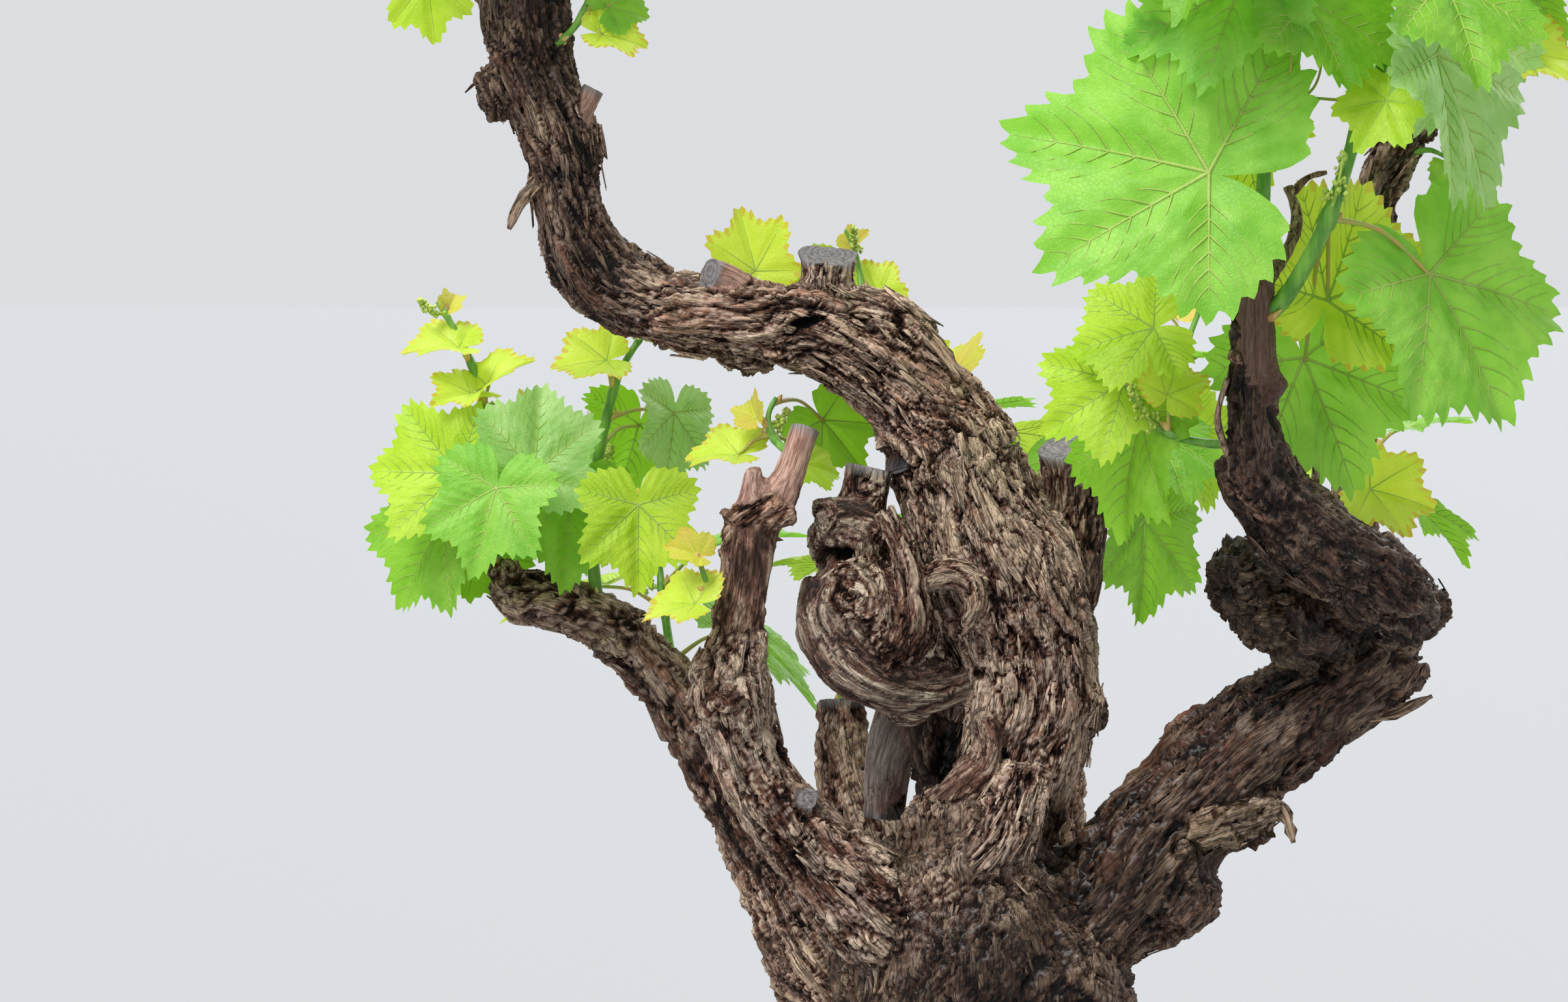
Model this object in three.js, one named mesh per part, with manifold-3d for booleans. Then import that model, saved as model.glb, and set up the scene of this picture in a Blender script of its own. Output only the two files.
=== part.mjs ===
// An old, gnarled grapevine in early leaf: a short trunk from a flat cut at ground
// level, its twisted arms with burls and cut stubs, and the leafy shoots on them.
import * as THREE from 'three';
import { mergeVertices } from 'three/addons/utils/BufferGeometryUtils.js';
import Module from 'manifold-3d';

const wasm = await Module();
wasm.setup();

// Driving dimensions in millimetres. The origin is the middle of the flat cut at
// ground level. X runs to the right, Y away from the viewer and Z up.
const CLEARANCE = 0.3;
const LIMB_TOLERANCE = 0.1;
const CUT_TOLERANCE = 0.05;
const FLARE_HEIGHT = 70;
const FLARE_SHARE = 0.2;
const FLARE_ROOTS = 5;
const RING_STEP_SHARE = 1.2;
const LEAST_RING_STEP = 10;
const LARGE_LUMP = 24;
const BARK_RELIEF = 0.07;
const CUT_RELIEF = 0.03;
const SHOOT_RING_STEP = 18;
const SHOOT_SIDES = 4;
const SHOOT_TAPER = 0.42;
const STEM_NODES = 24;
const PETIOLE_FIRST_NODE = 9;
const PETIOLE_RADIUS = 0.8;
const PETIOLE_TAPER = 0.45;
const PETIOLE_SUNK = 0.2;
const PETIOLE_SAG = 0.12;
const PETIOLE_REACH_DOWN = 0.4;
const PETIOLE_GIRTH_SHARE = 0.004;
const LEAF_SHRINK = 0.72;
const LEAF_LEAST_SIZE = 0.86;
const LEAF_SIZE_SPREAD = 0.28;
const LEAF_TURN_SPREAD = 50;
const LEAF_STAND_OFF = 0.55;
const LEAF_LOW_RISE = 0.35;
const LEAF_MORE_RISE = 0.5;
const LEAF_DROP = 0.8;
const LEAF_LIFT_TO_TIP = 1.2;
const LEAF_DROP_SPREAD = 0.4;
const LEAF_OUTWARD = 0.9;
const BLADE_BASE_THICKNESS = 1.2;
const BLADE_THICKNESS_SHARE = 0.02;
const BLADE_CENTRE = 0.35;
const BLADE_DROOP = 0.2;
const BLADE_FOLD = 0.2;

// The outline of a blade: the angle from the midrib in degrees and the reach in
// midrib lengths, from the tip by three lobes to the notch at the petiole.
const BLADE_OUTLINE = [
  [0, 1.0],
  [22, 0.78],
  [46, 0.9],
  [74, 0.62],
  [104, 0.7],
  [158, 0.47],
  [180, 0.08],
];

// The limbs in the order in which they are cut clear of each other. A path's rows
// are x, y, z and radius, lumps are x, y, z and radius of the burls fused on.
const LIMBS = [
  {
    name: 'trunk',
    sides: 17,
    flared: true,
    path: [[0, 0, 0, 56], [-7, 4, 55, 46], [-13, 7, 115, 41], [-9, 5, 170, 43], [0, 1, 222, 50],
      [2, 0, 268, 54], [0, 0, 303, 46], [0, 0, 322, 26]],
    lumps: [[22, 18, 176, 27], [30, -22, 266, 30]],
  },
  {
    name: 'main_stem',
    sides: 13,
    path: [[0, 0, 285, 31], [-1, -1, 312, 28], [10, -2, 344, 26], [20, 0, 380, 26.5],
      [14, 0, 415, 30.5], [1, 0, 443, 28.5], [-7, 0, 467, 25]],
    lumps: [[36, -8, 374, 13]],
  },
  {
    name: 'burl',
    sides: 12,
    path: [[-47, -11, 430, 14], [-45, -10, 447, 10.5], [-41, -8, 465, 8.6]],
    lumps: [[-42, -12, 408, 27], [-48, -12, 438, 16], [-24, -10, 383, 16]],
  },
  {
    name: 'hanging_stub',
    sides: 10,
    path: [[0, 10, 404, 12], [-19, 19, 385, 11.5], [-32, 24, 354, 10], [-35, 24, 326, 8.4]],
  },
  {
    name: 'dead_stub',
    sides: 12,
    path: [[28, 12, 380, 9], [38, 14, 416, 10.5], [38, 12, 443, 12], [36, 10, 473, 12.5]],
  },
  {
    name: 's_arm_low',
    sides: 12,
    path: [[-7, 0, 466, 24.6], [-17, 0, 484, 22], [-35, -1, 502, 18.6], [-55, -2, 515, 17.3],
      [-80, -1, 521, 16.6], [-105, 1, 523, 15.4], [-123, 2, 526, 14.4]],
    lumps: [[-60, -2, 522, 14]],
  },
  {
    name: 's_arm_rise',
    sides: 11,
    path: [[-121, 2, 526, 14.2], [-139, 2, 535, 14.8], [-151, 0, 550, 15.2], [-156, -2, 572, 13.4],
      [-161, -2, 594, 14.2], [-170, 0, 618, 14.8], [-173, 1, 644, 16], [-175, 0, 668, 13.5],
      [-174, 0, 688, 9]],
    lumps: [[-182, -3, 608, 10], [-183, 2, 648, 10]],
  },
  {
    name: 'large_cut_stub',
    sides: 12,
    path: [[-57, -1, 522, 12], [-58, -1, 536, 11], [-57, 0, 547, 11.4]],
  },
  {
    name: 'small_cut_stub',
    sides: 9,
    path: [[-97, 0, 528, 5.5], [-101, -1, 541, 4.6]],
  },
  {
    name: 'side_stub',
    sides: 9,
    path: [[-160, -3, 588, 5], [-152, -5, 598, 4.8], [-146, -5, 609, 4]],
  },
  {
    name: 'left_arm',
    sides: 12,
    path: [[-22, -16, 284, 23], [-43, -22, 301, 20], [-61, -24, 319, 17.3], [-76, -24, 338, 15],
      [-87, -26, 358, 14.4], [-93, -28, 382, 15.8], [-92, -29, 404, 10.6], [-88, -30, 424, 8.4],
      [-87, -30, 443, 10.4]],
    lumps: [[-94, -30, 380, 16]],
  },
  {
    name: 'left_cane',
    sides: 9,
    path: [[-84, -30, 445, 8], [-76, -28, 456, 7.2], [-71, -26, 466, 6], [-66, -22, 481, 5.8]],
  },
  {
    name: 'left_dead_tip',
    sides: 8,
    path: [[-88, -31, 446, 6], [-86, -31, 457, 5], [-85, -32, 467, 3.4]],
  },
  {
    name: 'back_left_arm',
    sides: 10,
    path: [[-36, 22, 236, 17], [-62, 46, 260, 15.6], [-80, 70, 294, 13.6], [-103, 83, 338, 12.6],
      [-124, 88, 372, 12.6], [-144, 90, 394, 13.2], [-168, 90, 404, 11.6], [-185, 90, 408, 10.4],
      [-192, 90, 421, 5]],
    lumps: [[-141, 88, 391, 14.5]],
  },
  {
    name: 'right_arm',
    sides: 12,
    path: [[22, -4, 276, 28], [52, -6, 301, 26], [77, -8, 330, 24], [101, -8, 355, 24],
      [122, -10, 372, 22.8], [143, -14, 389, 21.6], [156, -18, 403, 20]],
    lumps: [[96, -10, 336, 20], [70, -9, 304, 23]],
  },
  {
    name: 'right_knob',
    sides: 10,
    path: [[128, -34, 404, 17], [112, -42, 414, 18], [96, -48, 417, 15]],
    lumps: [[150, -21, 413, 22], [168, -14, 412, 13], [126, -35, 417, 20], [97, -46, 424, 15]],
  },
  {
    name: 'front_spur',
    sides: 11,
    path: [[160, -46, 412, 12], [150, -58, 420, 15.5], [134, -74, 432, 18], [113, -86, 446, 16.4],
      [98, -96, 464, 13.6], [93, -102, 487, 9.6], [92, -105, 511, 7.8], [91, -108, 537, 7]],
  },
  {
    name: 'front_dead_tip',
    sides: 8,
    path: [[98, -92, 450, 8.4], [90, -92, 462, 6.6], [84, -92, 475, 4.4]],
  },
  {
    name: 'back_spur',
    sides: 9,
    path: [[148, -4, 420, 10], [146, 4, 442, 9], [148, 9, 474, 7.8], [152, 13, 505, 7.4],
      [152, 12, 538, 7.4], [153, 5, 568, 9], [161, 0, 588, 9.6], [176, -2, 606, 6],
      [190, -2, 623, 4.4]],
  },
  {
    name: 'rear_arm',
    sides: 11,
    path: [[12, 28, 268, 23], [29, 74, 300, 19], [35, 114, 338, 15.8], [40, 140, 376, 13.6],
      [45, 153, 410, 11.8], [47, 158, 440, 9.4]],
  },
  {
    name: 'rear_left_stub',
    sides: 10,
    path: [[-18, 34, 272, 16], [-38, 76, 306, 12.8], [-49, 97, 342, 11], [-50, 101, 363, 8.6]],
  },
];

// The leafy shoots. The stem's rows are x, y and z, and it starts inside its bough.
// A posed leaf is x, y, z of the petiole's end, the midrib's length, the bearing and
// the height that the upper face looks at, and the clock angle of the tip on it, all
// in degrees: bearing 0 looks at the viewer and 90 to the right. A grown count adds
// leaves by rule along the stem from the share and at the size named with it.
const SHOOTS = [
  {
    name: 'shoot_left_tip',
    bough: 'back_left_arm',
    radius: 2.6,
    stem: [[-191, 90, 414], [-194, 88, 452], [-195, 88, 479], [-203, 90, 506], [-215, 92, 527]],
    posed: [[-205, 70, 458, 42, -16, 12, -88], [-212, 86, 438, 43, -30, 14, -148],
      [-200, 106, 424, 26, 10, 30, 150], [-207, 82, 509, 24, 10, 35, -80],
      [-193, 82, 496, 21, -50, 20, 32], [-203, 80, 492, 16, 30, 30, -112],
      [-211, 94, 524, 10, 20, 40, 30]],
  },
  {
    name: 'shoot_left_middle',
    bough: 'back_left_arm',
    radius: 2.4,
    stem: [[-163, 92, 408], [-168, 92, 436], [-175, 88, 456], [-180, 82, 472]],
    posed: [[-178, 86, 479, 14, 20, 40, 20], [-168, 108, 448, 34, 160, 30, 150]],
  },
  {
    name: 'shoot_left_upright',
    bough: 'back_left_arm',
    radius: 2.8,
    stem: [[-150, 90, 400], [-153, 87, 438], [-150, 86, 462], [-142, 88, 495], [-132, 92, 513]],
    posed: [[-175, 60, 457, 38, 6, 16, 6], [-190, 46, 456, 41, -8, 18, -170],
      [-160, 72, 448, 38, 4, 22, -176], [-134, 50, 448, 37, 2, 12, 180],
      [-114, 93, 484, 31, 20, 14, -160], [-146, 84, 501, 26, 8, 24, -88],
      [-130, 96, 514, 16, 40, 30, 60], [-134, 112, 476, 36, 170, 34, 160]],
  },
  {
    name: 'shoot_left_rear',
    bough: 'back_left_arm',
    radius: 2.6,
    stem: [[-112, 90, 352], [-120, 124, 372], [-126, 152, 404], [-130, 168, 442]],
    posed: [],
    grown: { count: 5, from: 0.42, size: 44, spin: 350 },
  },
  {
    name: 'shoot_left_bud',
    bough: 'left_arm',
    radius: 1.7,
    stem: [[-92, -31, 428], [-101, -37, 422], [-105, -39, 430]],
    posed: [[-107, -42, 414, 25, -12, 34, -98], [-106, -38, 434, 16, 0, 30, -70]],
  },
  {
    name: 'shoot_cane',
    bough: 'left_cane',
    radius: 1.8,
    stem: [[-70, -25, 470], [-78, -13, 477], [-80, -9, 485], [-77, -7, 492]],
    posed: [[-59, 24, 482, 26, 12, 12, 140], [-92, -10, 468, 25, -24, 44, -80],
      [-84, -13, 484, 13, -40, 30, -44], [-66, 4, 466, 16, 30, 40, 108]],
  },
  {
    name: 'shoot_arm_leaf',
    bough: 's_arm_low',
    radius: 1.4,
    stem: [[-92, 8, 528], [-89, 23, 538], [-85, 25, 548]],
    posed: [[-85, 20, 540, 26, 2, 6, -14]],
  },
  {
    name: 'shoot_arm_rear',
    bough: 's_arm_low',
    radius: 1.6,
    stem: [[-46, 8, 514], [-44, 26, 532], [-46, 30, 546], [-50, 31, 556]],
    posed: [[-37, 30, 530, 17, 14, 20, -16], [-30, 34, 526, 10, 40, 30, 80],
      [-47, 34, 549, 10, -20, 30, 30], [-54, 40, 540, 20, 180, 30, 150]],
  },
  {
    name: 'shoot_rise_left',
    bough: 's_arm_rise',
    radius: 1.7,
    stem: [[-176, 6, 650], [-192, 16, 660], [-206, 20, 668], [-218, 22, 684]],
    posed: [[-211, 18, 652, 25, -10, 12, 172], [-222, 26, 690, 14, -40, 40, -60],
      [-208, 30, 682, 22, 170, 40, 120]],
  },
  {
    name: 'shoot_rise_right',
    bough: 's_arm_rise',
    radius: 1.6,
    stem: [[-160, -4, 626], [-152, -8, 634], [-147, -9, 646], [-147, -8, 658]],
    posed: [[-143, -12, 629, 19, 16, 44, 100], [-140, -8, 640, 18, 20, 20, 58],
      [-150, -12, 651, 13, -30, 30, -30]],
  },
  {
    name: 'shoot_top_left',
    bough: 's_arm_rise',
    radius: 3,
    stem: [[-176, 0, 680], [-192, -4, 712], [-203, -8, 750], [-206, -12, 792], [-202, -14, 834]],
    posed: [],
    grown: { count: 7, from: 0.26, size: 52, spin: 258 },
  },
  {
    name: 'shoot_top_right',
    bough: 's_arm_rise',
    radius: 2.8,
    stem: [[-168, 3, 676], [-142, 8, 700], [-122, 14, 734], [-110, 18, 772]],
    posed: [],
    grown: { count: 6, from: 0.34, size: 46, spin: 280 },
  },
  {
    name: 'shoot_front_side',
    bough: 'front_spur',
    radius: 2,
    stem: [[91, -100, 480], [77, -87, 479], [62, -75, 484], [50, -68, 500]],
    posed: [[60, -74, 520, 32, -12, 26, -104], [50, -64, 500, 35, -8, 18, -122],
      [58, -56, 486, 47, -56, 12, -166], [64, -84, 496, 20, 20, 30, 30]],
  },
  {
    name: 'shoot_front_left',
    bough: 'front_spur',
    radius: 3,
    stem: [[91, -108, 534], [94, -110, 556], [95, -113, 586], [97, -115, 622], [94, -114, 664],
      [86, -110, 706], [76, -104, 744]],
    posed: [[77, -132, 571, 76, -6, 14, -76], [84, -128, 640, 46, -12, 20, -118],
      [106, -132, 634, 40, 14, 26, 118], [88, -96, 596, 40, 184, 20, 150]],
    grown: { count: 5, from: 0.64, size: 48, spin: 245 },
  },
  {
    name: 'shoot_front_right',
    bough: 'front_spur',
    radius: 4.2,
    stem: [[93, -108, 526], [104, -112, 533], [112, -116, 549], [119, -120, 567], [128, -122, 597],
      [142, -119, 630], [161, -112, 672], [178, -106, 716]],
    posed: [[156, -96, 540, 62, 26, 16, 152], [122, -78, 530, 50, 20, 8, 26],
      [116, -62, 509, 54, 6, 10, 158], [152, -126, 616, 62, 52, 16, 150],
      [134, -132, 600, 22, 0, 30, -150]],
    grown: { count: 5, from: 0.72, size: 42, spin: 300 },
  },
  {
    name: 'shoot_knob',
    bough: 'right_knob',
    radius: 1.5,
    stem: [[140, -22, 428], [142, -24, 446], [145, -22, 456]],
    posed: [[147, -24, 458, 27, 4, 22, 104]],
  },
  {
    name: 'shoot_spur_side',
    bough: 'back_spur',
    radius: 1.5,
    stem: [[162, -4, 584], [170, -10, 586], [177, -10, 583]],
    posed: [[179, -9, 579, 20, 30, 24, 140]],
  },
  {
    name: 'shoot_spur_top',
    bough: 'back_spur',
    radius: 2.8,
    stem: [[188, -2, 620], [194, -2, 637], [197, 0, 664], [194, 6, 698], [186, 12, 736]],
    posed: [[182, -14, 628, 44, 0, 14, -144], [187, -10, 640, 27, -6, 24, -50],
      [204, -8, 622, 27, 8, 40, 92], [206, 8, 652, 36, 120, 30, 160]],
    grown: { count: 5, from: 0.5, size: 44, spin: 80 },
  },
  {
    name: 'shoot_right_rear',
    bough: 'right_arm',
    radius: 2.6,
    stem: [[140, -2, 392], [152, 34, 414], [160, 60, 448], [164, 76, 494]],
    posed: [],
    grown: { count: 5, from: 0.6, size: 40, spin: 10 },
  },
  {
    name: 'shoot_rear_left',
    bough: 'rear_arm',
    radius: 2.6,
    stem: [[44, 158, 436], [30, 174, 450], [10, 188, 470], [-10, 196, 496]],
    posed: [],
    grown: { count: 5, from: 0.3, size: 46, spin: 250 },
  },
  {
    name: 'shoot_rear_right',
    bough: 'rear_arm',
    radius: 2.6,
    stem: [[49, 156, 432], [68, 156, 452], [88, 158, 486], [104, 164, 524]],
    posed: [[78, 142, 434, 44, 40, 12, -172], [96, 150, 470, 38, 30, 20, 130]],
    grown: { count: 5, from: 0.45, size: 40, spin: 280 },
  },
  {
    name: 'shoot_rear_stub',
    bough: 'rear_left_stub',
    radius: 2.4,
    stem: [[-50, 101, 358], [-47, 110, 386], [-42, 120, 412], [-38, 126, 440]],
    posed: [],
    grown: { count: 4, from: 0.42, size: 38, spin: 280 },
  },
];

const radians = THREE.MathUtils.degToRad;
const UP = new THREE.Vector3(0, 0, 1);
const BARK = new THREE.MeshStandardMaterial({ color: 0x6b5546, roughness: 0.9, metalness: 0 });
const CANE = new THREE.MeshStandardMaterial({ color: 0x8a6c5c, roughness: 0.75, metalness: 0 });
const LEAF = new THREE.MeshStandardMaterial({ color: 0x8fc23a, roughness: 0.55, metalness: 0 });
const CANES = ['left_cane', 'left_dead_tip', 'hanging_stub', 'side_stub'];

// A fixed random number from 0 to 1 for a list of whole numbers.
function chance(...keys) {
  let state = 17;
  for (const key of keys) {
    state = (state * 7919 + key * 104729 + 1237) % 233280;
  }
  return ((state * 9301 + 49297) % 233280) / 233280;
}

// The row at share t of a smooth curve through the rows of a path.
function along(path, t) {
  const spans = path.length - 1;
  const span = Math.min(Math.floor(t * spans), spans - 1);
  const s = t * spans - span;
  const before = path[Math.max(span - 1, 0)];
  const start = path[span];
  const end = path[span + 1];
  const after = path[Math.min(span + 2, spans)];
  return start.map((value, i) => 0.5 * (2 * value + (end[i] - before[i]) * s
    + (2 * before[i] - 5 * value + 4 * end[i] - after[i]) * s * s
    + (3 * value - before[i] - 3 * end[i] + after[i]) * s * s * s));
}

function pathLength(path) {
  let length = 0;
  for (let i = 1; i < path.length; i += 1) {
    length += Math.hypot(...[0, 1, 2].map((k) => path[i][k] - path[i - 1][k]));
  }
  return length;
}

// Evenly spaced stations of a path: centre, radius, tangent and two cross directions
// that are carried along without twist.
function stations(path, step) {
  const count = Math.max(2, Math.round(pathLength(path) / step));
  const rows = [];
  for (let i = 0; i <= count; i += 1) {
    rows.push(along(path, i / count));
  }
  const centres = rows.map((row) => new THREE.Vector3(row[0], row[1], row[2]));
  let side = new THREE.Vector3(1, 0, 0);
  return centres.map((centre, i) => {
    const next = centres[Math.min(i + 1, count)];
    const last = centres[Math.max(i - 1, 0)];
    const tangent = i === 0 && centre.z === 0 ? UP.clone() : next.clone().sub(last).normalize();
    if (i === 0 && Math.abs(tangent.x) > 0.8) {
      side = new THREE.Vector3(0, 1, 0);
    }
    side = side.clone().addScaledVector(tangent, -side.dot(tangent)).normalize();
    const across = tangent.clone().cross(side);
    return { centre, radius: rows[i][3], tangent, side, across, travelled: i * step };
  });
}

// A closed body through rings of points, with a flat face over each end.
function ringGeometry(rings) {
  const sides = rings[0].length;
  const last = (rings.length - 1) * sides;
  const index = [];
  for (let j = 0; j < sides; j += 1) {
    const k = (j + 1) % sides;
    if (j > 0 && k > 0) {
      index.push(0, k, j, last, last + j, last + k);
    }
    for (let i = 0; i < rings.length - 1; i += 1) {
      const a = i * sides;
      const b = a + sides;
      index.push(a + j, a + k, b + k, a + j, b + k, b + j);
    }
  }
  const geometry = new THREE.BufferGeometry().setFromPoints(rings.flat());
  geometry.setIndex(index);
  return geometry;
}

function solidOf(geometry) {
  geometry.deleteAttribute('normal');
  geometry.deleteAttribute('uv');
  const merged = mergeVertices(geometry);
  return new wasm.Manifold(new wasm.Mesh({
    numProp: 3,
    vertProperties: new Float32Array(merged.attributes.position.array),
    triVerts: new Uint32Array(merged.index.array),
  }));
}

// The largest body of a solid: what a cut leaves loose is dropped, and a hollow that
// a join seals is filled.
function mainBody(solid) {
  const bodies = solid.decompose();
  return bodies.reduce((best, body) => (body.volume() > best.volume() ? body : best));
}

function meshOf(name, solid, material) {
  const mesh = solid.getMesh();
  const geometry = new THREE.BufferGeometry();
  geometry.setAttribute('position', new THREE.BufferAttribute(mesh.vertProperties, 3));
  geometry.setIndex(new THREE.BufferAttribute(mesh.triVerts, 1));
  geometry.computeVertexNormals();
  const result = new THREE.Mesh(geometry, material);
  result.name = name;
  return result;
}

// How far the bark stands out at an angle round a limb, in shares of its radius.
function relief(angle, travelled, seed, depth) {
  const phase = seed * 1.7;
  return 1 + depth * (0.6 * Math.sin(3 * angle + travelled * 0.021 + phase)
    + 0.4 * Math.sin(5 * angle - travelled * 0.034 + 2 * phase)
    + 0.4 * Math.sin(travelled * 0.11 + 3 * phase));
}

// The root flare: buttresses that fade out with the height.
function flare(angle, height) {
  const fade = Math.max(0, 1 - height / FLARE_HEIGHT) ** 2;
  return 1 + FLARE_SHARE * fade * (0.6 + Math.cos(FLARE_ROOTS * angle + 0.6));
}

function limbSweep(limb, seed, grown) {
  const meanRadius = limb.path.reduce((sum, row) => sum + row[3], 0) / limb.path.length;
  const step = Math.max(LEAST_RING_STEP, RING_STEP_SHARE * meanRadius);
  const rings = stations(limb.path, step).map((station, i, all) => {
    const end = i === 0 ? -1 : Number(i === all.length - 1);
    const slide = limb.flared && i === 0 ? 0 : end * grown;
    const depth = end === 0 ? BARK_RELIEF : CUT_RELIEF;
    const centre = station.centre.clone().addScaledVector(station.tangent, slide);
    return Array.from({ length: limb.sides }, (_, j) => {
      const angle = (2 * Math.PI * j) / limb.sides;
      const swell = limb.flared ? flare(angle, station.centre.z) : 1;
      const radius = station.radius * relief(angle, station.travelled, seed, depth) * swell + grown;
      return centre.clone()
        .addScaledVector(station.side, radius * Math.cos(angle))
        .addScaledVector(station.across, radius * Math.sin(angle));
    });
  });
  return solidOf(ringGeometry(rings));
}

// A burl: a ball with a few soft swellings.
function lumpSolid([x, y, z, radius], seed, grown) {
  const geometry = new THREE.IcosahedronGeometry(1, radius > LARGE_LUMP ? 2 : 1);
  const position = geometry.attributes.position;
  for (let i = 0; i < position.count; i += 1) {
    const point = new THREE.Vector3().fromBufferAttribute(position, i);
    const swelling = 1 + 0.07 * Math.sin(3.3 * point.x + seed) * Math.cos(2.9 * point.z - seed)
      + 0.05 * Math.sin(4.1 * point.y + 2 * seed);
    point.multiplyScalar(radius * swelling + grown);
    position.setXYZ(i, x + point.x, y + point.y, z + point.z);
  }
  return solidOf(geometry);
}

function limbSolid(limb, seed, grown = 0) {
  const burls = (limb.lumps || []).map((lump, i) => lumpSolid(lump, seed + i, grown));
  const whole = burls.reduce((sum, burl) => sum.add(burl), limbSweep(limb, seed, grown));
  return whole.simplify(LIMB_TOLERANCE);
}

function touches(a, b) {
  const boxA = a.boundingBox();
  const boxB = b.boundingBox();
  const apart = [0, 1, 2].some((k) => boxA.min[k] > boxB.max[k] || boxB.min[k] > boxA.max[k]);
  return !apart && a.intersect(b).volume() > 0;
}

// Each limb is cut clear of the limbs before it.
function growLimbs() {
  const limbs = new Map();
  LIMBS.forEach((limb, seed) => {
    let solid = limbSolid(limb, seed);
    for (const earlier of limbs.values()) {
      if (touches(solid, earlier.grown)) {
        solid = solid.subtract(earlier.grown);
      }
    }
    limbs.set(limb.name, {
      solid: mainBody(solid.simplify(CUT_TOLERANCE)),
      grown: limbSolid(limb, seed, CLEARANCE),
    });
  });
  return limbs;
}

// A slim round stem through rows of x, y and z that tapers from one radius to another.
function stemSolid(rows, startRadius, endRadius, sides, step) {
  const path = rows.map((row, i) => {
    const t = i / (rows.length - 1);
    return [...row, startRadius + (endRadius - startRadius) * t];
  });
  const rings = stations(path, step).map((station) => Array.from({ length: sides }, (_, j) => {
    const angle = (2 * Math.PI * j) / sides;
    return station.centre.clone()
      .addScaledVector(station.side, station.radius * Math.cos(angle))
      .addScaledVector(station.across, station.radius * Math.sin(angle));
  }));
  return solidOf(ringGeometry(rings));
}

// The frame of a leaf: where its upper face looks and where its midrib runs.
function posedLeaf([x, y, z, size, bearing, height, clock]) {
  const b = radians(bearing);
  const h = radians(height);
  const face = new THREE.Vector3(Math.sin(b) * Math.cos(h), -Math.cos(b) * Math.cos(h), Math.sin(h));
  const upward = UP.clone().addScaledVector(face, -UP.dot(face)).normalize();
  const right = upward.clone().cross(face);
  const tip = upward.multiplyScalar(Math.cos(radians(clock)))
    .addScaledVector(right, Math.sin(radians(clock)));
  return { foot: new THREE.Vector3(x, y, z), size, face, tip };
}

// Leaves by rule: they stand in two ranks, shrink towards the tip of the shoot and
// hang outward from it.
function grownLeaves(shoot, seed) {
  const { count, from, size, spin } = shoot.grown || { count: 0 };
  return Array.from({ length: count }, (_, i) => {
    const share = i / Math.max(count - 1, 1);
    const node = new THREE.Vector3(...along(shoot.stem, from + (0.99 - from) * share));
    const length = size * (1 - LEAF_SHRINK * share * share)
      * (LEAF_LEAST_SIZE + LEAF_SIZE_SPREAD * chance(seed, i, 1));
    const turn = radians(spin + 180 * i + LEAF_TURN_SPREAD * (chance(seed, i, 2) - 0.5));
    const out = new THREE.Vector3(Math.cos(turn), Math.sin(turn), 0);
    const away = LEAF_STAND_OFF * length;
    const rise = away * (LEAF_LOW_RISE + LEAF_MORE_RISE * share);
    const foot = node.addScaledVector(out, away).addScaledVector(UP, rise);
    const drop = LEAF_DROP - LEAF_LIFT_TO_TIP * share
      + LEAF_DROP_SPREAD * (chance(seed, i, 3) - 0.5);
    const tip = out.clone().addScaledVector(UP, -drop).normalize();
    const face = UP.clone().addScaledVector(out, LEAF_OUTWARD).normalize();
    face.addScaledVector(tip, -face.dot(tip)).normalize();
    return { foot, size: length, face, tip };
  });
}

// A five-lobed blade with a sharp rim and its full thickness in the middle, folded up
// along the midrib and drooping at its tips.
function bladeSolid({ foot, size, face, tip }) {
  const right = tip.clone().cross(face);
  const half = (BLADE_BASE_THICKNESS + BLADE_THICKNESS_SHARE * size) / 2;
  const last = BLADE_OUTLINE.length * 2 - 2;
  const mirrored = BLADE_OUTLINE.slice(1, -1).reverse().map(([angle, reach]) => [-angle, reach]);
  const outline = [...BLADE_OUTLINE, ...mirrored];
  const place = (angle, reach, lift) => {
    const ahead = reach * Math.cos(radians(angle));
    const aside = reach * Math.sin(radians(angle));
    const height = BLADE_FOLD * Math.abs(aside) - BLADE_DROOP * (ahead * ahead + aside * aside);
    return foot.clone().addScaledVector(tip, ahead * size)
      .addScaledVector(right, aside * size)
      .addScaledVector(face, height * size + lift);
  };
  const points = [place(0, BLADE_CENTRE, half), place(0, BLADE_CENTRE, -half)];
  points.push(...outline.map(([angle, reach]) => place(angle, reach, 0)));
  const index = outline.flatMap((_, i) => {
    const a = 2 + i;
    const b = 2 + ((i + 1) % last);
    return [0, b, a, 1, a, b];
  });
  const geometry = new THREE.BufferGeometry().setFromPoints(points);
  geometry.setIndex(index);
  return solidOf(geometry);
}

// A petiole from the nearest place of the stem, sunk into the stem and the blade.
function petioleSolid(stem, leaf) {
  const target = leaf.foot.clone().addScaledVector(UP, -PETIOLE_REACH_DOWN * leaf.size);
  let root = null;
  for (let i = PETIOLE_FIRST_NODE; i <= STEM_NODES; i += 1) {
    const node = new THREE.Vector3(...along(stem, i / STEM_NODES));
    if (!root || node.distanceTo(target) < root.distanceTo(target)) {
      root = node;
    }
  }
  const end = leaf.foot.clone().addScaledVector(leaf.tip, leaf.size * PETIOLE_SUNK);
  const middle = root.clone().add(end).multiplyScalar(0.5);
  middle.addScaledVector(UP, PETIOLE_SAG * root.distanceTo(end));
  const rows = [root, middle, end].map((point) => point.toArray());
  const radius = PETIOLE_RADIUS + PETIOLE_GIRTH_SHARE * leaf.size;
  return stemSolid(rows, radius, radius * PETIOLE_TAPER, 3, pathLength(rows) / 2);
}

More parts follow.
